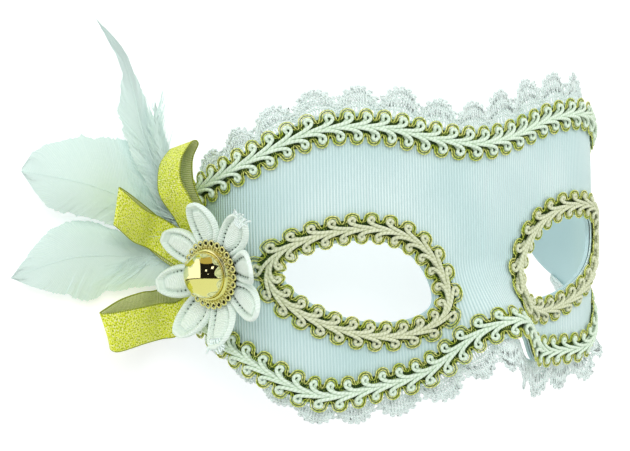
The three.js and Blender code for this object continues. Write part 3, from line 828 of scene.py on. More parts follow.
def gimp_braid(name, line, half, cord, node, direction=1, tail=0.0, tail_run=1.0):
    """Cords, wires and ground along a closed line. A table of the repeats that are used up along
    the line gives the place of each station."""
    x = face(line.u, line.y)[::direction, 0]
    local = REPEAT_NEAR + (REPEAT_FAR - REPEAT_NEAR) * eased(x, LOOSER_FROM, LOOSER_TO)
    used = np.concatenate([[0], np.cumsum(np.diff(line.s) / local[1:])])
    repeats = round(used[-1])
    used = used * repeats / used[-1]

    def beside(s, across, high):
        """Points beside and above the line, drawn out to a tail near its start."""
        across = across * half / BRAID_HALF
        round_s = np.mod(s, line.length)
        near = np.minimum(round_s, line.length - round_s)
        point = 1 + tail / half * np.exp(-((near / tail_run) ** 2))
        return line.at(s, np.where(across > 0, across * point, across), high)

    def on_line(path):
        """A path of even repeats, laid along the line as its table says."""
        s = np.interp(np.mod(path[..., 0] / CORD_REPEAT, repeats), used, line.s)
        return beside(direction * s, path[..., 1], path[..., 2])

    cords = [tubes(*on_line(cord_path(repeats, offset, CORD_STEPS)), CORD_RADIUS, CORD_RADIUS,
                   CORD_SIDES, True) for offset in (0, CORD_REPEAT / 2)]
    wires = []
    for side, offset in ((1, 0), (-1, CORD_REPEAT / 4)):
        for row, radius in enumerate(WIRE_ROUNDS):
            path = wire_path(repeats, offset, radius, side, WIRE_STEPS)
            wire = tubes(*on_line(path), WIRE_RADIUS, WIRE_RADIUS, WIRE_SIDES, True)
            wire[2][..., 1] += row * WIRE_ROW
            wires.append(wire)
    rows = int(line.length / GROUND_STEP)
    s = np.linspace(0, line.length, rows, endpoint=False)
    profile = np.array(GROUND_PROFILE)
    ground_points = beside(s[:, None], profile[:, 0], profile[:, 1])[0]
    quads, places = grid_quads(rows, len(profile), wrap_rows=True, wrap_columns=True)
    uv = places * (line.length / rows, GROUND_UV_STEP)
    cord_points, cord_quads, cord_uv = together(cords)
    make_piece(name + "_cord", cord_points, cord_quads, cord, cord_uv,
               stands_for=[node])
    wire_points, wire_quads, wire_uv = together(wires)
    make_piece(name + "_wire", wire_points, wire_quads, GOLD_WIRE, wire_uv)
    facing_out(make_piece(name + "_ground", ground_points, quads, GOLD_GROUND_AND_SHADE, uv))


edge_line = FaceLine(*edge_loop(EDGE_BRAID["inset"]), closed=True)
gimp_braid("edge", edge_line, EDGE_BRAID["half"], RIM_CORD, node="edge_braid")
for side, node in ((-1, "eye_braid_left"), (1, "eye_braid_right")):
    u, y = eye_loop(side, EYE_BRAID["outset"])
    if side < 0:  # the mirrored loop starts at its outer corner too
        u, y = np.roll(u, 1), np.roll(y, 1)
    eye_line = FaceLine(u, y, closed=True)
    gimp_braid(node.replace("eye_braid_", "eye_"), eye_line, EYE_BRAID["half"], EYE_CORD,
               direction=-1, tail=EYE_BRAID["tail"], tail_run=EYE_BRAID["tail_run"], node=node)

# %% [markdown]
# ## Lace
# The lace is a crocheted edging behind the rim: scallops like small fans, with spokes, rounds of
# thread and a row of picots on the outside. One scallop's threads are drawn flat, in millimetres
# along the edge and outwards, repeated along the edge and laid on the face behind the shell.

# %% Lace finish
def thread_finish():
    """Twisted white cotton."""
    finish = Finish("white_lace_thread", Roughness=0.75, Sheen_Weight=0.3)
    _, along, around = finish.surface_places()
    twist = (along * 7.0 + around * 5.0).wave()
    tone = finish.noise(finish.object_places(), 180, 3)
    light = finish.mix(tone, (0.84, 0.97, 0.93), (0.94, 1.0, 0.98))
    colour = finish.mix(twist ** 0.4, (0.72, 0.88, 0.83), light)
    return finish.wear(Base_Color=colour, Normal=finish.bump(twist, 0.00012))


LACE_THREAD = thread_finish()

# %% Lace trims
SCALLOP = 13.4
LACE_END = 97.0
LACE_DEPTH = -2.8
LACE_REACH = {1: (1.6, 9.2), -1: (1.8, 9.6)}
# the share of its reach at the flowered temple, and where it is full
LACE_SHORT = {1: (0.7, 80.0), -1: (0.34, 35.0)}
LACE_FLARE = {1: 0.0, -1: 0.8}
FLARE_FROM, FLARE_TO = 45.0, 65.0
THREAD_HALF, THREAD_THICK, THREAD_SIDES = 0.44, 0.26, 4
FOOT = -1.5
FAN_CENTRE = (0, -3)  # the picots point away from here
ROUNDS = (  # share of the way out, height and thickness of each round of thread
    (0.28, 0.1, 1.1), (0.42, 0, 0.9), (0.55, 0.1, 0.9), (0.67, 0, 0.9), (0.79, 0.1, 1.0),
    (0.9, 0, 0.8), (1.0, 0.1, 1.25),
)
SPOKES, ZIGZAG_TURNS = 15, 27
ZIGZAGS = ((0.84, 0.98), (0.44, 0.64))
PICOT, PICOTS = 0.6, 7
UNEVEN = 0.1  # how much one scallop differs from the next
THREAD_STRAY = 0.13
RUFFLE_HIGH, RUFFLE_PITCH = 0.45, 9.3
LACE_SEED = 11


def scallop_threads(valley, crest):
    """One scallop's threads as lists of (along, out, above) stations and half widths. A place is
    foot + f (rim - foot), where the foot is a level line under the edge and the rim is a cosine
    arch from valley to crest."""

    def fan(t, f):
        """The place at t across the scallop, from -1 to 1, and f of the way out."""
        t, f = np.broadcast_arrays(np.asarray(t, float), f)
        arch = valley - PICOT + (crest - valley - PICOT) * np.cos(np.pi * t / 2) ** 0.75
        rim = np.stack([t * SCALLOP / 2, arch], -1)
        foot = np.stack([t * SCALLOP / 2, 0 * t + FOOT], -1)
        return foot + f[..., None] * (rim - foot)

    def lifted(flat, high):
        """Flat places with a height above the face."""
        return np.concatenate([flat, np.full(flat.shape[:-1] + (1,), high)], -1)

    wide = np.linspace(-1, 1, 17)
    threads = [(lifted(fan(wide, f), high), size) for f, high, size in ROUNDS]
    for t in np.linspace(-0.96, 0.96, SPOKES):
        threads.append((lifted(fan(t, np.linspace(0, 1, 6)), 0.25), 0.8))
    zig = np.linspace(-0.97, 0.97, ZIGZAG_TURNS)
    for inner, outer in ZIGZAGS:
        share = np.where(np.arange(ZIGZAG_TURNS) % 2, inner, outer)
        threads.append((lifted(fan(zig, share), 0.3), 0.8))
    turn = np.linspace(0, 2 * np.pi, 11)
    for t in np.linspace(-0.8, 0.8, PICOTS):
        out = unit(fan(t, 1.0) - FAN_CENTRE)
        loop = fan(t, 1.0) + out * PICOT
        ring = loop + PICOT * np.stack([np.cos(turn), np.sin(turn)], -1)
        threads.append((lifted(ring, 0.15), 1.0))
    run = np.linspace(-0.5, 0.5, 9) * SCALLOP
    threads.append((np.stack([run, 0 * run + FOOT, 0 * run], -1), 1.3))
    return threads


def lace_trim(up, name, node):
    """The scallops along one edge. The reach shrinks towards the flowered temple, and the lower
    lace stands away from the plain cheek."""
    arc = np.arange(-LACE_END, LACE_END + 0.5)
    middle, half = outline(np.abs(arc))
    u, y = arc, middle + up * half
    if up < 0:
        u, y = u[::-1], y[::-1]
    line = FaceLine(u, y, closed=False)
    count = round(line.length / SCALLOP)
    pitch = line.length / count
    short, full = LACE_SHORT[up]
    draw = np.random.default_rng(LACE_SEED)
    taller = 1 + draw.uniform(-UNEVEN, UNEVEN, (count, 1))
    parts = []
    for path, size in scallop_threads(*LACE_REACH[up]):
        local = np.tile(path, (count, 1, 1))
        local = local + draw.normal(0, THREAD_STRAY, local.shape) * (1, 1, 0.5)
        local[..., 1] *= taller
        s = ((np.arange(count) + 0.5) * pitch)[:, None] + local[..., 0] * pitch / SCALLOP
        s = np.clip(s, 0, line.length)
        here = np.interp(s, line.s, line.u)
        reach = short + (1 - short) * eased(here, -LACE_END, full)
        out = np.where(local[..., 1] > 0, local[..., 1] * reach, local[..., 1])
        ruffle = RUFFLE_HIGH * np.sin(2 * np.pi * s / RUFFLE_PITCH) * np.clip(out / 6, 0, 1)
        flare = LACE_FLARE[up] * eased(here, FLARE_FROM, FLARE_TO) * np.maximum(out, 0)
        paths, normals = line.at(s, out, LACE_DEPTH + local[..., 2] + ruffle + flare)
        parts.append(tubes(paths, normals, THREAD_HALF * size, THREAD_THICK * size,
                           THREAD_SIDES))
    points, quads, uv = together(parts)
    make_piece(name, points, quads, LACE_THREAD, uv, stands_for=[node])


lace_trim(1, "brow_lace", "lace_top")
lace_trim(-1, "cheek_lace", "lace_bottom")

# %% [markdown]
# ## Gold ribbon
# The bow is one sheer gold ribbon folded into three loops. Each loop is a strip carried along a
# spline of its centre line, as wide as a second spline of half-width vectors says.

# %% Ribbon finish
RIBBON_HALF = 6.0
INSIDE_STEP = 40.0  # step of the texture place from a loop's outside to its inside
WEFT_PITCH, THREAD_PITCH = 0.55, 0.6
BORDER = 0.35


def ribbon_finish():
    """A woven gold organza with glitter and painted glints, dark gaps outside, sheer inside, and dark
    borders.
    """
    finish = Finish("gold_organza", Metallic=0.1)
    places, along, across = finish.surface_places()
    inside = across.above(INSIDE_STEP / 2)
    across = across - inside * INSIDE_STEP
    weft = (along * (TURN / WEFT_PITCH)).wave()
    warp = (across * (TURN / THREAD_PITCH)).wave()
    glitter = finish.noise(places, 1.75, 1, 0.7)
    # glitter flecks, partly real and partly a painted glint: the brightest places are painted near
    # white
    glitter_and_glint = ((glitter - 0.52) * 9.0).clamped()
    cloud = finish.noise(places, 0.25, 2)
    base = finish.mix(cloud, (0.70, 0.80, 0.015), (0.94, 1.0, 0.04))
    lit = finish.mix(glitter_and_glint, base, (1.0, 1.0, 0.55))
    gap = ((0.46 - glitter) * 8.0).clamped()
    lit = finish.mix(gap * 0.8, lit, (0.20, 0.26, 0.004))
    sheer = finish.mix(weft * 0.7 + glitter * 0.3, (0.40, 0.52, 0.08), (1.0, 1.0, 0.72))
    lit = finish.mix(inside * 0.85, lit, sheer)
    edge = ((across - RIBBON_HALF).absolute() - (RIBBON_HALF - BORDER)).above(0)
    border = finish.mix(weft, (0.10, 0.14, 0.006), (0.62, 0.70, 0.06))
    colour = finish.mix(edge, lit, border)
    weave = weft * 0.5 + warp * 0.3 + glitter * 0.5
    return finish.wear(Base_Color=colour, Normal=finish.bump(weave, 0.00022),
                       Roughness=0.5 - glitter_and_glint * 0.25)


GOLD_ORGANZA = ribbon_finish()

# %% Ribbon loops
RIBBON_THICK = 0.3
RIBBON_COLUMNS, RIBBON_STEPS = 9, 8
RIBBON_LOOPS = {
    "ribbon_upper": [
        ((-74.4, 6.2, 31.1), (1, 0, 5.9)), ((-76.6, 12.2, 25.4), (1, 0.6, 5.9)),
        ((-78.6, 16.2, 22.4), (1.3, 0.5, 5.9)), ((-80.4, 20.4, 21.4), (1.4, 0.5, 5.9)),
        ((-84.4, 26.4, 21.8), (1.6, 0.5, 5.9)), ((-85.9, 31.4, 21.5), (0.6, 1, 6.1)),
        ((-85.8, 37, 23), (0.4, 1.2, 6.1)), ((-83.2, 41.2, 24.5), (0.6, 1.4, 5.8)),
        ((-81.2, 40.6, 24), (0.8, 1.2, 5.8)), ((-81.4, 36, 20.6), (0.8, 0.8, 5.6)),
        ((-80.8, 28.3, 20.4), (0.9, 0.5, 5.6)), ((-77.6, 19, 23.4), (1, 0.4, 5.8)),
        ((-74.5, 7.2, 30.1), (1, 0, 5.9)),
    ],
    "ribbon_middle": [
        ((-74.6, 5.2, 31.1), (0, -6, 0)), ((-77.5, 7.7, 22.5), (-0.3, -5.9, -0.8)),
        ((-80.2, 10.2, 16.2), (-0.3, -5.6, -1.8)), ((-86, 15, 11.4), (-0.4, -5.2, -2.4)),
        ((-93.4, 18.4, 15.8), (-0.7, -5, -2.6)), ((-99.4, 22.9, 19.5), (-0.4, -5.4, -1.9)),
        ((-101.9, 25, 20.2), (-0.4, -5.5, -1.4)), ((-99.8, 24.3, 17.8), (-0.6, -5.2, -2)),
        ((-94.4, 21, 14), (-0.6, -5.2, -2.4)), ((-87.5, 16.2, 10.8), (-0.5, -5.2, -2.2)),
        ((-81.6, 10.7, 12.2), (-0.4, -5.2, -2.2)), ((-76.9, 6.7, 20), (-0.3, -5.9, -0.8)),
        ((-74.5, 4.2, 30.1), (0, -6, 0)),
    ],
    "ribbon_lower": [
        ((-74.8, 3.2, 31.1), (0.3, -5.6, -1.6)), ((-77.5, -3.8, 22.5), (0.3, -5.8, -1.6)),
        ((-80.9, -10.6, 14.6), (0.6, -5.6, -1.6)), ((-86.5, -10.9, 14), (0.5, -5.7, -1.2)),
        ((-94, -10.5, 18), (0.3, -5.7, -0.9)), ((-103.6, -10.6, 21), (1, -5.7, 0.3)),
        ((-107.2, -10.1, 21.6), (1.4, -5.6, 1)), ((-105.3, -9.3, 18.6), (0.8, -5.8, -1)),
        ((-98.7, -8, 15), (1, -5.8, -1)), ((-91, -7.4, 11.8), (0.8, -5.8, -1.2)),
        ((-84.2, -7.6, 8.9), (0.5, -5.8, -1.2)), ((-77.6, -1.2, 18), (0.2, -5.9, -1.2)),
        ((-74.5, 3.2, 30.1), (0.3, -5.6, -1.6)),
    ],
}
# which way across the ribbon its bright side faces out
RIBBON_OUTSIDE = {"ribbon_upper": -1, "ribbon_middle": 1, "ribbon_lower": 1}


def slab(middle, normal, thick, place, back=(0, 0)):
    """A thin closed sheet: a grid of points moved half a thickness to each side of itself along
    its normals, with walls round its four sides. Place gives each point's texture place, and back
    what is added to it on the far side."""
    rows, columns = middle.shape[:2]
    size = rows * columns
    quads, _ = grid_quads(rows, columns)
    number = np.arange(size).reshape(rows, columns)
    rim = np.concatenate([number[0, :-1], number[:-1, -1], number[-1, :0:-1], number[:0:-1, 0]])
    after = np.roll(rim, -1)
    wall = np.stack([rim, rim + size, after + size, after], -1)
    points = np.concatenate([(middle + normal * thick / 2).reshape(-1, 3),
                             (middle - normal * thick / 2).reshape(-1, 3)])
    all_quads = np.concatenate([quads, quads[:, ::-1] + size, wall])
    place = np.broadcast_to(place, (rows, columns, 2)).reshape(-1, 2)
    return points, all_quads, np.concatenate([place, place + back])[all_quads]


def strip(centre, across, thick):
    """A ribbon: points centre + v across for v from -1 to 1, with its length."""
    v = np.linspace(-1, 1, RIBBON_COLUMNS)
    normal = unit(np.cross(np.gradient(centre, axis=0), across))[:, None]
    far = np.concatenate([[0], np.cumsum(np.linalg.norm(np.diff(centre, axis=0), axis=1))])
    place = np.stack(np.broadcast_arrays(far[:, None], (v + 1) * RIBBON_HALF), -1)
    middle = centre[:, None] + across[:, None] * v[:, None]
    return (*slab(middle, normal, thick, place, (0, INSIDE_STEP)), far[-1])


for name, stations in RIBBON_LOOPS.items():
    centre, across = np.array(stations, float).transpose(1, 0, 2)
    centre = spline(centre, RIBBON_STEPS)
    across = spline(across, RIBBON_STEPS) * RIBBON_OUTSIDE[name]
    points, quads, uv, length = strip(centre, across, RIBBON_THICK)
    loop = facing_out(make_piece(name, points, quads, GOLD_ORGANZA, uv,
                                 stands_for=["gold_ribbon_bow"] if name == "ribbon_upper" else []))
    print(name, "length in mm:", round(length, 1))

# %% [markdown]
# ## Flower
# The flower's parts are made about its own axis and moved to the temple by one turn and one shift.

# %% The flower's frame
FLOWER_ARC, FLOWER_HEADING = -80.2, math.radians(72)
flower_x = np.array([math.cos(FLOWER_HEADING), 0, math.sin(FLOWER_HEADING)])
flower_y = np.array([0.0, 1, 0])
flower_axis = np.cross(flower_x, flower_y)
flower_middle = face(FLOWER_ARC, FLOWER_HEIGHT)


def on_flower(points):
    """Points given as (across, up, out) of the flower, on the temple."""
    points = np.asarray(points, float)
    return (flower_middle + points[..., :1] * flower_x + points[..., 1:2] * flower_y
            + points[..., 2:] * flower_axis)


print("flower axis:", flower_axis.round(3))

# %% [markdown]
# ## Daisy
# The daisy is a guipure flower: eight petals, each with a thick satin-stitched rim round a lower,
# pricked panel. A petal is a grid of lengths by widths, as wide as its outline allows, and the rim is
# half a circle of height along its edge.

# %% Daisy
PETALS, PETAL_TIP, PETAL_NOTCH = 8, 20.9, 10.8
PETAL_SHAPE, PETAL_START, PETAL_THIN = 0.75, 6.0, 0.1
PETAL_ROWS, PETAL_COLUMNS = 56, 41
PETAL_TURN = math.radians(14.3)
PETAL_TURNS = np.radians([-3.5, -4.2, -1.2, 1.7, -0.8, 1.8, -3.5, 3.1])
PETAL_LIFTS = (3.1, -3.0, -0.8, -1.9, -0.9, 2.0, 1.2, -1.1)  # no two petals curl up alike
FRAYED_PETALS, FRAYED_THREADS, FRAYED_SEED = (1, 6), 14, 3
FRAYED_RADIUS = 0.3
DAISY_BASE, PETAL_CUP = 7.0, 4.5
CURL_START = 8
RIM_WIDTH, RIM_HIGH = 1.7, 1.6
GROOVE_AT, GROOVE_HIGH = 2.0, 0.2
PANEL_HIGH = 1.25
HOLES_TO = 16.5  # the pricked holes end this far from the flower's middle


def petal_finish():
    """The texture place is (distance from the flower's middle, distance from the petal's edge)."""
    finish = Finish("white_guipure", Roughness=0.7, Sheen_Weight=0.3)
    places, along, edge = finish.surface_places()
    wobble = finish.noise(places, 0.8, 2)
    stitch = (along * 10.0 + edge * 3.0 + wobble * 2.5).wave()
    fine = finish.noise(finish.object_places(), 1500, 3)
    tone = finish.noise(finish.object_places(), 150, 2)
    light = finish.mix(tone, (0.84, 0.95, 0.88), (0.95, 1.0, 0.96))
    colour = finish.mix(stitch * 0.3 + fine * 0.6 + 0.1, (0.58, 0.73, 0.62), light)
    # painted shade: the groove beside the satin-stitched rim is darkened
    beside = (edge - GROOVE_AT).absolute()
    groove = (1 - beside * 2.4).clamped()
    colour = finish.mix(groove * 0.45, colour, (0.36, 0.50, 0.40))
    # painted shade: the pricked holes are painted near black, for the shade seen through them
    pricked = (along * 5.2 + wobble * 4.0).sine()
    hole = ((pricked - beside * 2.6) * 1.8).clamped() * ((HOLES_TO - along) * 0.4).clamped()
    colour = finish.mix(hole, colour, (0.02, 0.05, 0.03))
    height = stitch * 0.5 + fine * 0.3 - hole * 2.0
    return finish.wear(Base_Color=colour, Normal=finish.bump(height, 0.0002))


def petals():
    """Half width w(r) = r tan(arccos(((r - notch) / length)^(1/shape)) / 4). By the distance from
    the edge, the height is half an ellipse on the rim, then a groove, then a gently crowned panel."""
    share = (1 - np.cos(np.linspace(0, np.pi, PETAL_ROWS))) / 2
    r = PETAL_START + (PETAL_TIP - PETAL_START) * share
    lobe = np.clip((r - PETAL_NOTCH) / (PETAL_TIP - PETAL_NOTCH), 0, 1) ** (1 / PETAL_SHAPE)
    half = r * np.tan(np.arccos(lobe) / 4)
    half = np.minimum(half, r * math.tan(math.pi / PETALS))
    v = np.sin(np.linspace(-1, 1, PETAL_COLUMNS) * math.pi / 2)
    across = half[:, None] * v
    edge = np.minimum(half[:, None] * (1 - np.abs(v)), (PETAL_TIP - r)[:, None])
    inside = np.clip(edge / RIM_WIDTH * 2 - 1, -1, 1)
    rim = GROOVE_HIGH * eased(edge, 0, 1) + (RIM_HIGH - GROOVE_HIGH) * np.sqrt(1 - inside ** 2)
    panel = (PANEL_HIGH - GROOVE_HIGH) * eased(edge, GROOVE_AT + 0.1, GROOVE_AT + 1.1)
    cup = PETAL_CUP * (np.maximum(r - PETAL_NOTCH, 0) / (PETAL_TIP - PETAL_NOTCH)) ** 1.5
    low = DAISY_BASE + 0.2 + cup[:, None] + 0 * edge
    thick = rim + panel + PETAL_THIN
    curl = (np.maximum(r - CURL_START, 0) / (PETAL_TIP - CURL_START))[:, None] ** 1.2
    out = np.array([0, 0, 1.0])
    place = np.stack([np.broadcast_to(r[:, None], edge.shape), edge], -1)
    parts = []
    for k in range(PETALS):
        angle = PETAL_TURN + 2 * math.pi * k / PETALS + PETAL_TURNS[k] * curl
        x = r[:, None] * np.cos(angle) - across * np.sin(angle)
        y = r[:, None] * np.sin(angle) + across * np.cos(angle)
        middle = np.stack([x, y, low + thick / 2 + PETAL_LIFTS[k] * curl], -1)
        points, petal_quads, petal_uv = slab(middle, out, thick[..., None], place)
        parts.append((on_flower(points), petal_quads, petal_uv))
    return together(parts)


def frayed_threads():
    """Loose threads at the tips of two petals: each starts near the tip and bends off by a random
    turn, as a spline through three stations."""
    draw = np.random.default_rng(FRAYED_SEED)
    parts = []
    for k in FRAYED_PETALS:
        angle = PETAL_TURN + 2 * math.pi * k / PETALS + PETAL_TURNS[k]
        ahead = np.array([math.cos(angle), math.sin(angle), 0.15])
        beside = np.array([-math.sin(angle), math.cos(angle), 0])
        start = draw.uniform(-1, 1, (FRAYED_THREADS, 1))
        lean = start * 0.6 + draw.normal(0, 0.35, (FRAYED_THREADS, 1))
        length = draw.uniform(1.2, 3.4, (FRAYED_THREADS, 1))
        root = ahead * (PETAL_TIP - 3.0) + beside * start * 1.7
        root[:, 2] = DAISY_BASE + PETAL_CUP * 0.75 + PETAL_LIFTS[k] * 0.75
        root[:, 2] += draw.uniform(0.6, 1.5, FRAYED_THREADS)
        bend = root + (ahead + beside * lean * 0.5) * (1.2 + 0.5 * length)
        end = root + (ahead + beside * lean * 0.8) * (1.2 + length)
        end[:, 2] += draw.uniform(-0.8, 1.0, FRAYED_THREADS)
        paths = spline(np.stack([root, bend, end], 1), 5)
        up = np.broadcast_to([0, 0, 1.0], paths.shape)
        parts.append(tubes(on_flower(paths), up @ np.stack([flower_x, flower_y, flower_axis]),
                           FRAYED_RADIUS, FRAYED_RADIUS, 5))
    return together(parts)


GUIPURE = petal_finish()
points, quads, uv = petals()
facing_out(make_piece("guipure_daisy", points, quads, GUIPURE, uv, merge=0.01,
                      stands_for=["lace_daisy"]))
points, quads, uv = frayed_threads()
make_piece("frayed_threads", points, quads, LACE_THREAD, uv)

# %% [markdown]
# ## Button
# The button is a polished dome in a cast filigree rim: a raised inner ring, a ring of beads and an
# edge of small loops over a near-black ring of painted shade. The dome and the rings are profiles
# turned about the axis, and the beads and loops are one small shape repeated round a circle.

# %% Polished gold
def gold_finish():
    """Polished gold, barely uneven."""
    finish = Finish("polished_gold", Metallic=1.0)
    places = finish.object_places()
    tone = finish.noise(places, 120, 3)
    colour = finish.mix(tone, (0.90, 0.82, 0.42), (0.97, 0.90, 0.52))
    return finish.wear(Base_Color=colour, Roughness=tone * 0.06 + 0.05,
                       Normal=finish.bump(finish.noise(places, 500, 2), 0.00001))


def cast_finish():
    """Paler gold with the grain of a casting."""
    finish = Finish("cast_gold", Metallic=1.0)
    places = finish.object_places()
    tone = finish.noise(places, 700, 3)
    colour = finish.mix(tone, (0.80, 0.74, 0.28), (1.0, 0.96, 0.62))
    return finish.wear(Base_Color=colour, Roughness=tone * 0.25 + 0.15,
                       Normal=finish.bump(tone, 0.00008))


def recess_shade_finish():
    """Painted shade: the gaps behind the loops, coloured near black."""
    finish = Finish("painted_shade_recess", Metallic=0.7, Roughness=0.6)
    tone = finish.noise(finish.object_places(), 700, 3)
    return finish.wear(Base_Color=finish.mix(tone, (0.01, 0.008, 0.002), (0.07, 0.05, 0.006)))


POLISHED, CAST, RECESS = gold_finish(), cast_finish(), recess_shade_finish()


def turned_profile(profile, count, closed):
    """A profile of (radius, out) stations turned about the flower's axis."""
    radius, out = np.asarray(profile, float).T
    turn = 2 * np.pi * np.arange(count) / count
    points = np.stack(np.broadcast_arrays(
        radius[:, None] * np.cos(turn), radius[:, None] * np.sin(turn), out[:, None]), -1)
    quads, places = grid_quads(len(radius), count, wrap_rows=closed, wrap_columns=True)
    return points.reshape(-1, 3), quads, places.astype(float)


DOME_RADIUS, DOME_FOOT, DOME_HEIGHT, BUTTON_BASE = 6.6, 2.3, 8.9, 8.9
DOME_ROWS, DOME_SIDES, RIM_SIDES = 20, 64, 80
lift = np.radians(np.linspace(0, 90, DOME_ROWS))
dome_profile = np.stack([
    DOME_RADIUS * np.cos(lift),
    BUTTON_BASE + DOME_FOOT + (DOME_HEIGHT - DOME_FOOT) * np.sin(lift)], -1)
dome_profile = np.concatenate([[(0, BUTTON_BASE), (DOME_RADIUS, BUTTON_BASE)], dome_profile])
points, quads, uv = turned_profile(dome_profile, DOME_SIDES, False)
facing_out(make_piece("polished_dome", on_flower(points), quads, POLISHED, uv, merge=0.01,
                      stands_for=["button_dome"]))

# %% Filigree rim
def circles(count, radius, out, size, sides, tube=0.0):
    """Small shapes round a circle: balls, or rings where tube is given. A ball's point is the
    centre plus size times a unit vector; a ring's is a circle of a circle."""
    a = 2 * np.pi * np.arange(sides[0]) / sides[0]
    if tube:
        b = 2 * np.pi * np.arange(sides[1]) / sides[1]
        reach = size + tube * np.cos(b)
        local = np.stack(np.broadcast_arrays(
            reach[:, None] * np.cos(a), reach[:, None] * np.sin(a),
            (tube * np.sin(b))[:, None]), -1)
        quads, places = grid_quads(sides[1], sides[0], True, True)
    else:
        b = np.radians(np.linspace(-89.9, 89.9, sides[1]))
        local = np.stack(np.broadcast_arrays(
            np.cos(b)[:, None] * np.cos(a), np.cos(b)[:, None] * np.sin(a),
            np.sin(b)[:, None]), -1) * size
        quads, places = grid_quads(sides[1], sides[0], False, True)
    turn = 2 * np.pi * np.arange(count) / count
    cos, sin = np.cos(turn)[:, None, None], np.sin(turn)[:, None, None]
    x = radius + local[None, ..., 0]
    y = local[None, ..., 1]
    points = np.stack([x * cos - y * sin, x * sin + y * cos,
                       np.broadcast_to(out + local[None, ..., 2], (count,) + local.shape[:2])], -1)
    step = local.shape[0] * local.shape[1]
    quads = quads[None] + (np.arange(count) * step)[:, None, None]
    uv = np.tile(places.astype(float), (count, 1, 1))
    return points.reshape(-1, 3), quads.reshape(-1, 4), uv


# (radius, height over the button's base)
SEAT = np.array([(6.66, 0), (6.66, 2.2), (6.85, 2.45), (7.1, 2.4), (7.35, 2.0), (7.45, 1.2),
                 (8.1, 0.9), (8.4, 0.5), (8.4, 0)])
# a ring under the loops, coloured near black as painted shade in the gaps
RECESS_RING = np.array([(8.3, 0.1), (8.3, 0.45), (9.3, 0.35), (9.3, 0.1)])
parts = [
    turned_profile(SEAT + (0, BUTTON_BASE), RIM_SIDES, True),
    circles(50, 7.85, BUTTON_BASE + 1.3, 0.4, sides=(8, 6)),
    circles(26, 9.0, BUTTON_BASE + 1.0, 0.82, sides=(12, 6), tube=0.28),
]
points, quads, uv = together(parts)
facing_out(make_piece("filigree_rim", on_flower(points), quads, CAST, uv,
                      stands_for=["button_setting"]))
points, quads, uv = turned_profile(RECESS_RING + (0, BUTTON_BASE), RIM_SIDES, True)
facing_out(make_piece("filigree_painted_shade", on_flower(points), quads, RECESS, uv))

# %% [markdown]
# ## Feathers
# A feather is a quill with barbs on both sides. Each barb is a thin flat strip that leaves the quill,
# bends forward and ends at the vane's edge. Barbs lie side by side and cling in small groups, so the
# edge is ragged where a group ends early. Two tables of half widths, one for each side of the quill,
# give the outline, and loose down grows near the foot. All barbs of a feather are worked out at once.

# %% Feather finish
BARB_PITCH = 0.55


def feather_finish():
    """White vanes with the fine stripes of the barbs."""
    finish = Finish("white_feather", Roughness=0.8, Sheen_Weight=0.4)
    _, along, _ = finish.surface_places()
    tone = finish.noise(finish.object_places(), 70, 3)
    fine = finish.noise(finish.object_places(), 900, 2)
    barb = (along * (TURN / BARB_PITCH)).wave()
    light = finish.mix(tone, (0.70, 0.87, 0.82), (0.82, 0.94, 0.91))
    colour = finish.mix(barb * 0.5 + fine * 0.5, (0.66, 0.84, 0.79), light)
    return finish.wear(Base_Color=colour, Normal=finish.bump(barb + fine, 0.00005))


WHITE_FEATHER = feather_finish()

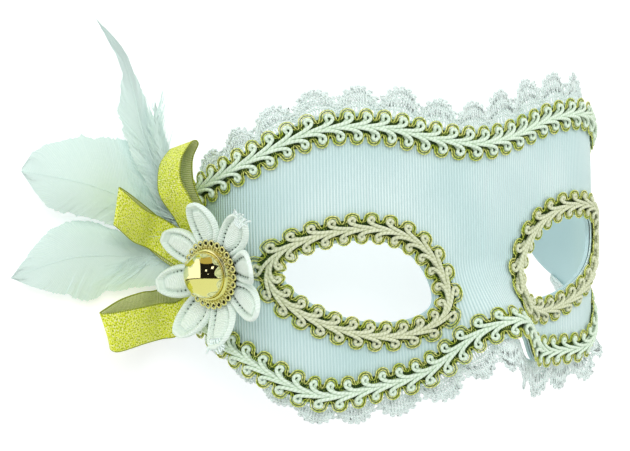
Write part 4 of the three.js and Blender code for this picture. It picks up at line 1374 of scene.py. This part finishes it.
# %% Feathers
# each side's table gives the half width in millimetres at shares of the quill
FEATHERS = {
    "feather_tall": dict(
        line=[(-74.2, 9.7, 23.8), (-79.3, 16.2, 12.2), (-83.5, 30.4, 11.2), (-88.6, 45.2, 11.1),
              (-91.4, 56.6, 12.2), (-95.2, 67.5, 13.2), (-103.1, 77.5, 14.4)],
        sides=([(0, 0.3), (0.15, 3.3), (0.25, 4.8), (0.35, 3.9), (0.5, 4.1), (0.62, 3.4),
                (0.75, 1.9), (0.9, 1.0), (1, 0)],
               [(0, 0.3), (0.2, 1.5), (0.3, 3.8), (0.4, 5.1), (0.6, 6.0), (0.66, 5.0),
                (0.71, 3.2), (0.76, 1.9), (0.88, 1.5), (1, 0)]),
        lean=0.16, droop=1.1, ragged=0.16),
    "feather_short": dict(
        line=[(-73.7, 12.7, 25.7), (-78.4, 19.4, 15.4), (-81.6, 30.4, 13.2), (-84.9, 42, 13.4),
              (-85.4, 54, 13.4)],
        sides=([(0, 0.3), (0.25, 2.3), (0.4, 3.9), (0.6, 3.8), (0.75, 3.0), (0.85, 1.8), (1, 0)],
               [(0, 0.3), (0.3, 2.2), (0.6, 2.2), (0.85, 1.0), (1, 0)]),
        lean=0.26, droop=0.6, ragged=0.5, wisps=True),
    "feather_upper": dict(
        line=[(-75.3, 7.2, 21.6), (-80.1, 12.4, 9.6), (-92, 24.4, 7.6), (-106.2, 31, 8.2),
              (-125.6, 36, 10.4)],
        sides=([(0, 0.3), (0.15, 3), (0.3, 6.7), (0.45, 10.6), (0.55, 14.6), (0.62, 16.4),
                (0.7, 16.0), (0.75, 13.6), (0.8, 13.8), (0.87, 10.6), (0.93, 8.6), (0.97, 6),
                (1, 0.5)],
               [(0, 0.3), (0.15, 2), (0.3, 4), (0.4, 6.3), (0.5, 9), (0.6, 9.8), (0.8, 10),
                (0.87, 9), (0.93, 5.4), (1, 0)]),
        lean=0.12, droop=2.2, ragged=0.08),
    "feather_lower": dict(
        line=[(-75.4, 3.2, 21.1), (-79.7, 6.6, 7.6), (-94.4, 8.5, 4.6), (-110.3, 9.3, 4.4),
              (-128.6, 5.8, 6)],
        sides=([(0, 0.3), (0.2, 1.5), (0.3, 3.3), (0.5, 7.4), (0.65, 10.6), (0.72, 10.9),
                (0.8, 9.6), (0.9, 5.3), (1, 0)],
               [(0, 0.3), (0.15, 6), (0.3, 9.1), (0.5, 11.1), (0.56, 11.1), (0.6, 13.4),
                (0.66, 14), (0.75, 12.4), (0.85, 9), (0.93, 4.6), (1, 0)]),
        lean=0.12, droop=1.8, ragged=0.08),
}
FEATHER_UP = np.array([-0.1, 0, 1])
DOWN_LOW = 0.6  # no barb of down hangs lower than this
BARBS, BARB_STEPS = 230, 9
VANE_THICK = 0.12
QUILL_STEPS = 40
CLUMP_CHANCE = 0.16  # that a new clump starts at a barb
BARB_UNEVEN = 0.045
DOWN_STATIONS = 5
FOOT_DOWN = dict(count=90, foot=(0.12, 0.45), long=(5, 13), spread=(0.3, 1.0), stray=0.35)
WISPS = dict(count=220, foot=(0.4, 0.92), long=(5, 8.5), spread=(0.25, 0.5), stray=0.06)


def along_line(points, t):
    """Points at shares t of a densely splined line, by linear steps."""
    dense = spline(np.asarray(points, float), 40)
    at = np.linspace(0, 1, len(dense))
    return np.stack([np.interp(t, at, dense[:, k]) for k in range(3)], -1)


def down(line, seed, count, foot, long, spread, stray):
    """Loose down of a feather: each barb leaves the quill to one side, at a share t of it, and
    bends forward and off by random turns."""
    draw = np.random.default_rng(seed + 20)
    t = draw.uniform(*foot, (count, 1))
    ahead = unit(along_line(line, t + 0.02) - along_line(line, t))
    beside = unit(np.cross(FEATHER_UP, ahead)) * draw.choice([-1.0, 1.0], (count, 1, 1))
    length = draw.uniform(*long, (count, 1, 1))
    f = np.linspace(0, 1, DOWN_STATIONS)[:, None]
    sideways = beside * draw.uniform(*spread, (count, 1, 1))
    steps = draw.normal(0, stray, (count, DOWN_STATIONS, 3)) * (1, 1, 0.3)
    wander = np.cumsum(steps, axis=1) * f
    stations = along_line(line, t) + (ahead * f + sideways * f ** 0.8) * length + wander
    stations[..., 2] = np.maximum(stations[..., 2] + 0.6 * f[:, 0], DOWN_LOW)
    paths = spline(stations, 4)
    thin = 0.10 - 0.06 * np.linspace(0, 1, paths.shape[1])
    return tubes(paths, np.broadcast_to(FEATHER_UP, paths.shape), thin, thin, 4)


def feather(shape, seed):
    """A vane whose rows are barbs: a barb leaves the quill at share t, leans forward by the share v
    of its length, and ends at the outline, less a ragged shortage that changes from barb to barb
    and from clump to clump."""
    draw = np.random.default_rng(seed)
    line = shape["line"]
    root = np.linspace(0.04, 0.995, BARBS)
    halves = []
    for side, table in zip((-1, 1), shape["sides"]):
        stations, widths = np.array(table, float).T
        clump = np.cumsum(draw.uniform(0, 1, BARBS) < CLUMP_CHANCE)
        shorter = draw.uniform(0, 1, BARBS)[clump] ** 3 * shape["ragged"]
        shorter = shorter + draw.uniform(0, BARB_UNEVEN, BARBS)
        lean = np.minimum(shape["lean"], (1 - root) * 0.95 + 0.002)
        v = np.linspace(0, 1, BARB_STEPS)
        t = np.clip(root[:, None] + lean[:, None] * v ** 0.85, 0, 1)
        share = v * (1 - shorter[:, None] * v)
        reach = np.interp(t, stations, widths)
        ahead = unit(along_line(line, np.minimum(t + 0.01, 1)) - along_line(line, t - 0.01))
        beside = side * unit(np.cross(FEATHER_UP, ahead))
        points = along_line(line, t) + beside * (share * reach)[..., None]
        points[..., 2] -= shape["droop"] * share ** 2 * (reach / widths.max()) ** 2
        points[..., 2] += draw.uniform(-0.1, 0.1, BARBS)[clump][:, None] * v
        halves.append(points)
    middle = np.concatenate([halves[0][:, :0:-1], halves[1]], axis=1)
    length = np.linalg.norm(np.diff(along_line(line, root), axis=0), axis=1).sum()
    along = np.broadcast_to(np.linspace(0, length, BARBS)[:, None], middle.shape[:2])
    place = np.stack([along, along * 0 + np.linspace(-1, 1, middle.shape[1]) * 10], -1)
    t = np.linspace(0, 1, QUILL_STEPS)
    thick = 0.26 * (1 - t) + 0.05
    quill = along_line(line, t) + (0, 0, 0.1)
    parts = [
        slab(middle, FEATHER_UP, VANE_THICK, place),
        tubes(quill, np.broadcast_to(FEATHER_UP, (QUILL_STEPS, 3)), thick, thick, 6),
        down(line, seed, **FOOT_DOWN),
    ]
    if shape.get("wisps"):
        parts.append(down(line, seed + 1, **WISPS))
    return together(parts)


for seed, (name, shape) in enumerate(FEATHERS.items()):
    points, quads, uv = feather(shape, seed)
    facing_out(make_piece(name + "_barbs", points, quads, WHITE_FEATHER, uv,
                          stands_for=[name]))

# %% [markdown]
# ## Floor and light
# The photograph is a cut-out on white, lit softly from the front. A near-white floor under a bright
# even sky and two large soft lamps give the same look, with a faint shadow to stand on.

# %% Floor
FLOOR_HALF = 0.9  # metres
floor_finish = Finish("white_floor", Roughness=0.9, Emission_Color=(1, 1, 1),
                      Emission_Strength=0.38)
floor_tone = floor_finish.noise(floor_finish.object_places(), 3, 2)
floor_white = floor_finish.wear(
    Base_Color=floor_finish.mix(floor_tone, (0.78, 0.78, 0.78), (0.82, 0.82, 0.82)))
floor_mesh = bpy.data.meshes.new("floor")
floor_mesh.from_pydata([(x * FLOOR_HALF, y * FLOOR_HALF, 0) for x, y in
                        ((-1, -1), (1, -1), (1, 1), (-1, 1))], [], [(0, 1, 2, 3)])
floor_mesh.materials.append(floor_white)
floor = linked("floor", floor_mesh)
floor.visible_glossy = False  # the polished dome shows the room in its place

# %% Lamps and sky
LAMP_AIM, LAMP_SIZE = (0, 0, 0.03), 0.5


def lamp(name, place, power):
    """A square area lamp at a place, in metres, turned towards the mask."""
    data = bpy.data.lights.new(name, "AREA")
    data.size = LAMP_SIZE
    data.energy = power
    made = linked(name, data)
    back = unit(np.array(place) - np.array(LAMP_AIM))
    side_way = unit(np.cross([0, 1, 0.01], back))
    stand(made, side_way, np.cross(back, side_way), back, place)
    made.visible_glossy = False


lamp("key_lamp", (-0.45, 0.55, 0.75), 4.0)
lamp("side_lamp", (0.6, 0.1, 0.5), 1.5)
world = bpy.data.worlds.new("sky")
world.use_nodes = True
bpy.context.scene.world = world
bpy.context.scene.view_settings.view_transform = "Standard"

# %% [markdown]
# A polished dome shows the room: a white soft box on the left, the dark end of the studio with three
# small lamps, a brown wall above and a pale table below, with a dark line along its edge. A place in
# it is how far a direction points across, up and to the front of the picture. Only mirror rays see
# this room, and soft light comes from an even white sky.

# %% The room that gloss reflects
BOX_ACROSS, BOX_RISE, BOX_FRONT = (-0.44, 0.86), (-0.2, 0.86), -0.3  # the dark end
SPOTS = ((0.03, 0.42, 0.07), (0.5, 0.6, 0.08), (0.2, 0.12, 0.03))  # across, up and half width
TABLE_RISE, TABLE_BACK, BACK_SLOPE = -0.26, (-0.62, -0.46), 0.35
WALL_RISE = 0.3
SOFT_LIGHT = 0.75


class Room(Finish):
    """The same small language on the world's nodes."""

    def __init__(self, world):
        self.nodes, self.links = world.node_tree.nodes, world.node_tree.links

    def along(self, direction, way):
        """How far a direction points one way."""
        return self.node("ShaderNodeVectorMath", {"operation": "DOT_PRODUCT"},
                         [direction, tuple(way)])[1]


def between(value, low, high):
    """One where the value lies between low and high, and zero elsewhere."""
    return value.above(low) * (1 - value.above(high))


room = Room(world)
direction = room.node("ShaderNodeTexCoord")[0]
across, rise, front = (room.along(direction, way) for way in (right, top, -look))
dark = between(across, *BOX_ACROSS) * between(rise, *BOX_RISE) * front.above(BOX_FRONT)
spots = sum(between(across, x - size, x + size) * between(rise, y - size, y + size)
            for x, y, size in SPOTS)
edge = between(rise, TABLE_RISE, BOX_RISE[0]) + between(front, *TABLE_BACK) * rise.above(TABLE_RISE)
wall = rise.above(WALL_RISE) * across.above(BOX_ACROSS[0])
colour = room.mix(wall, (1.25, 1.25, 1.15), (0.50, 0.40, 0.12))
colour = room.mix(dark, colour, (0.012, 0.01, 0.008))
colour = room.mix(spots * dark, colour, (1.6, 1.6, 1.6))
behind = front.math("MINIMUM", front, 0.0)
colour = room.mix((rise + behind * BACK_SLOPE).above(TABLE_RISE), (0.80, 0.86, 0.50), colour)
colour = room.mix(edge, colour, (0.05, 0.045, 0.02))
seen, soft, plain = (
    room.node("ShaderNodeBackground", None, [shade, strength])[0]
    for shade, strength in ((colour, 1.0), ((1.0, 1.0, 1.0), SOFT_LIGHT), ((1.0, 1.0, 1.0), 1.0))
)
from_camera, _, _, mirror = room.node("ShaderNodeLightPath")[:4]
both = room.node("ShaderNodeMixShader", None, [mirror, soft, seen])[0]
both = room.node("ShaderNodeMixShader", None, [from_camera, both, plain])[0]
room.put(room.nodes["World Output"].inputs["Surface"], both)
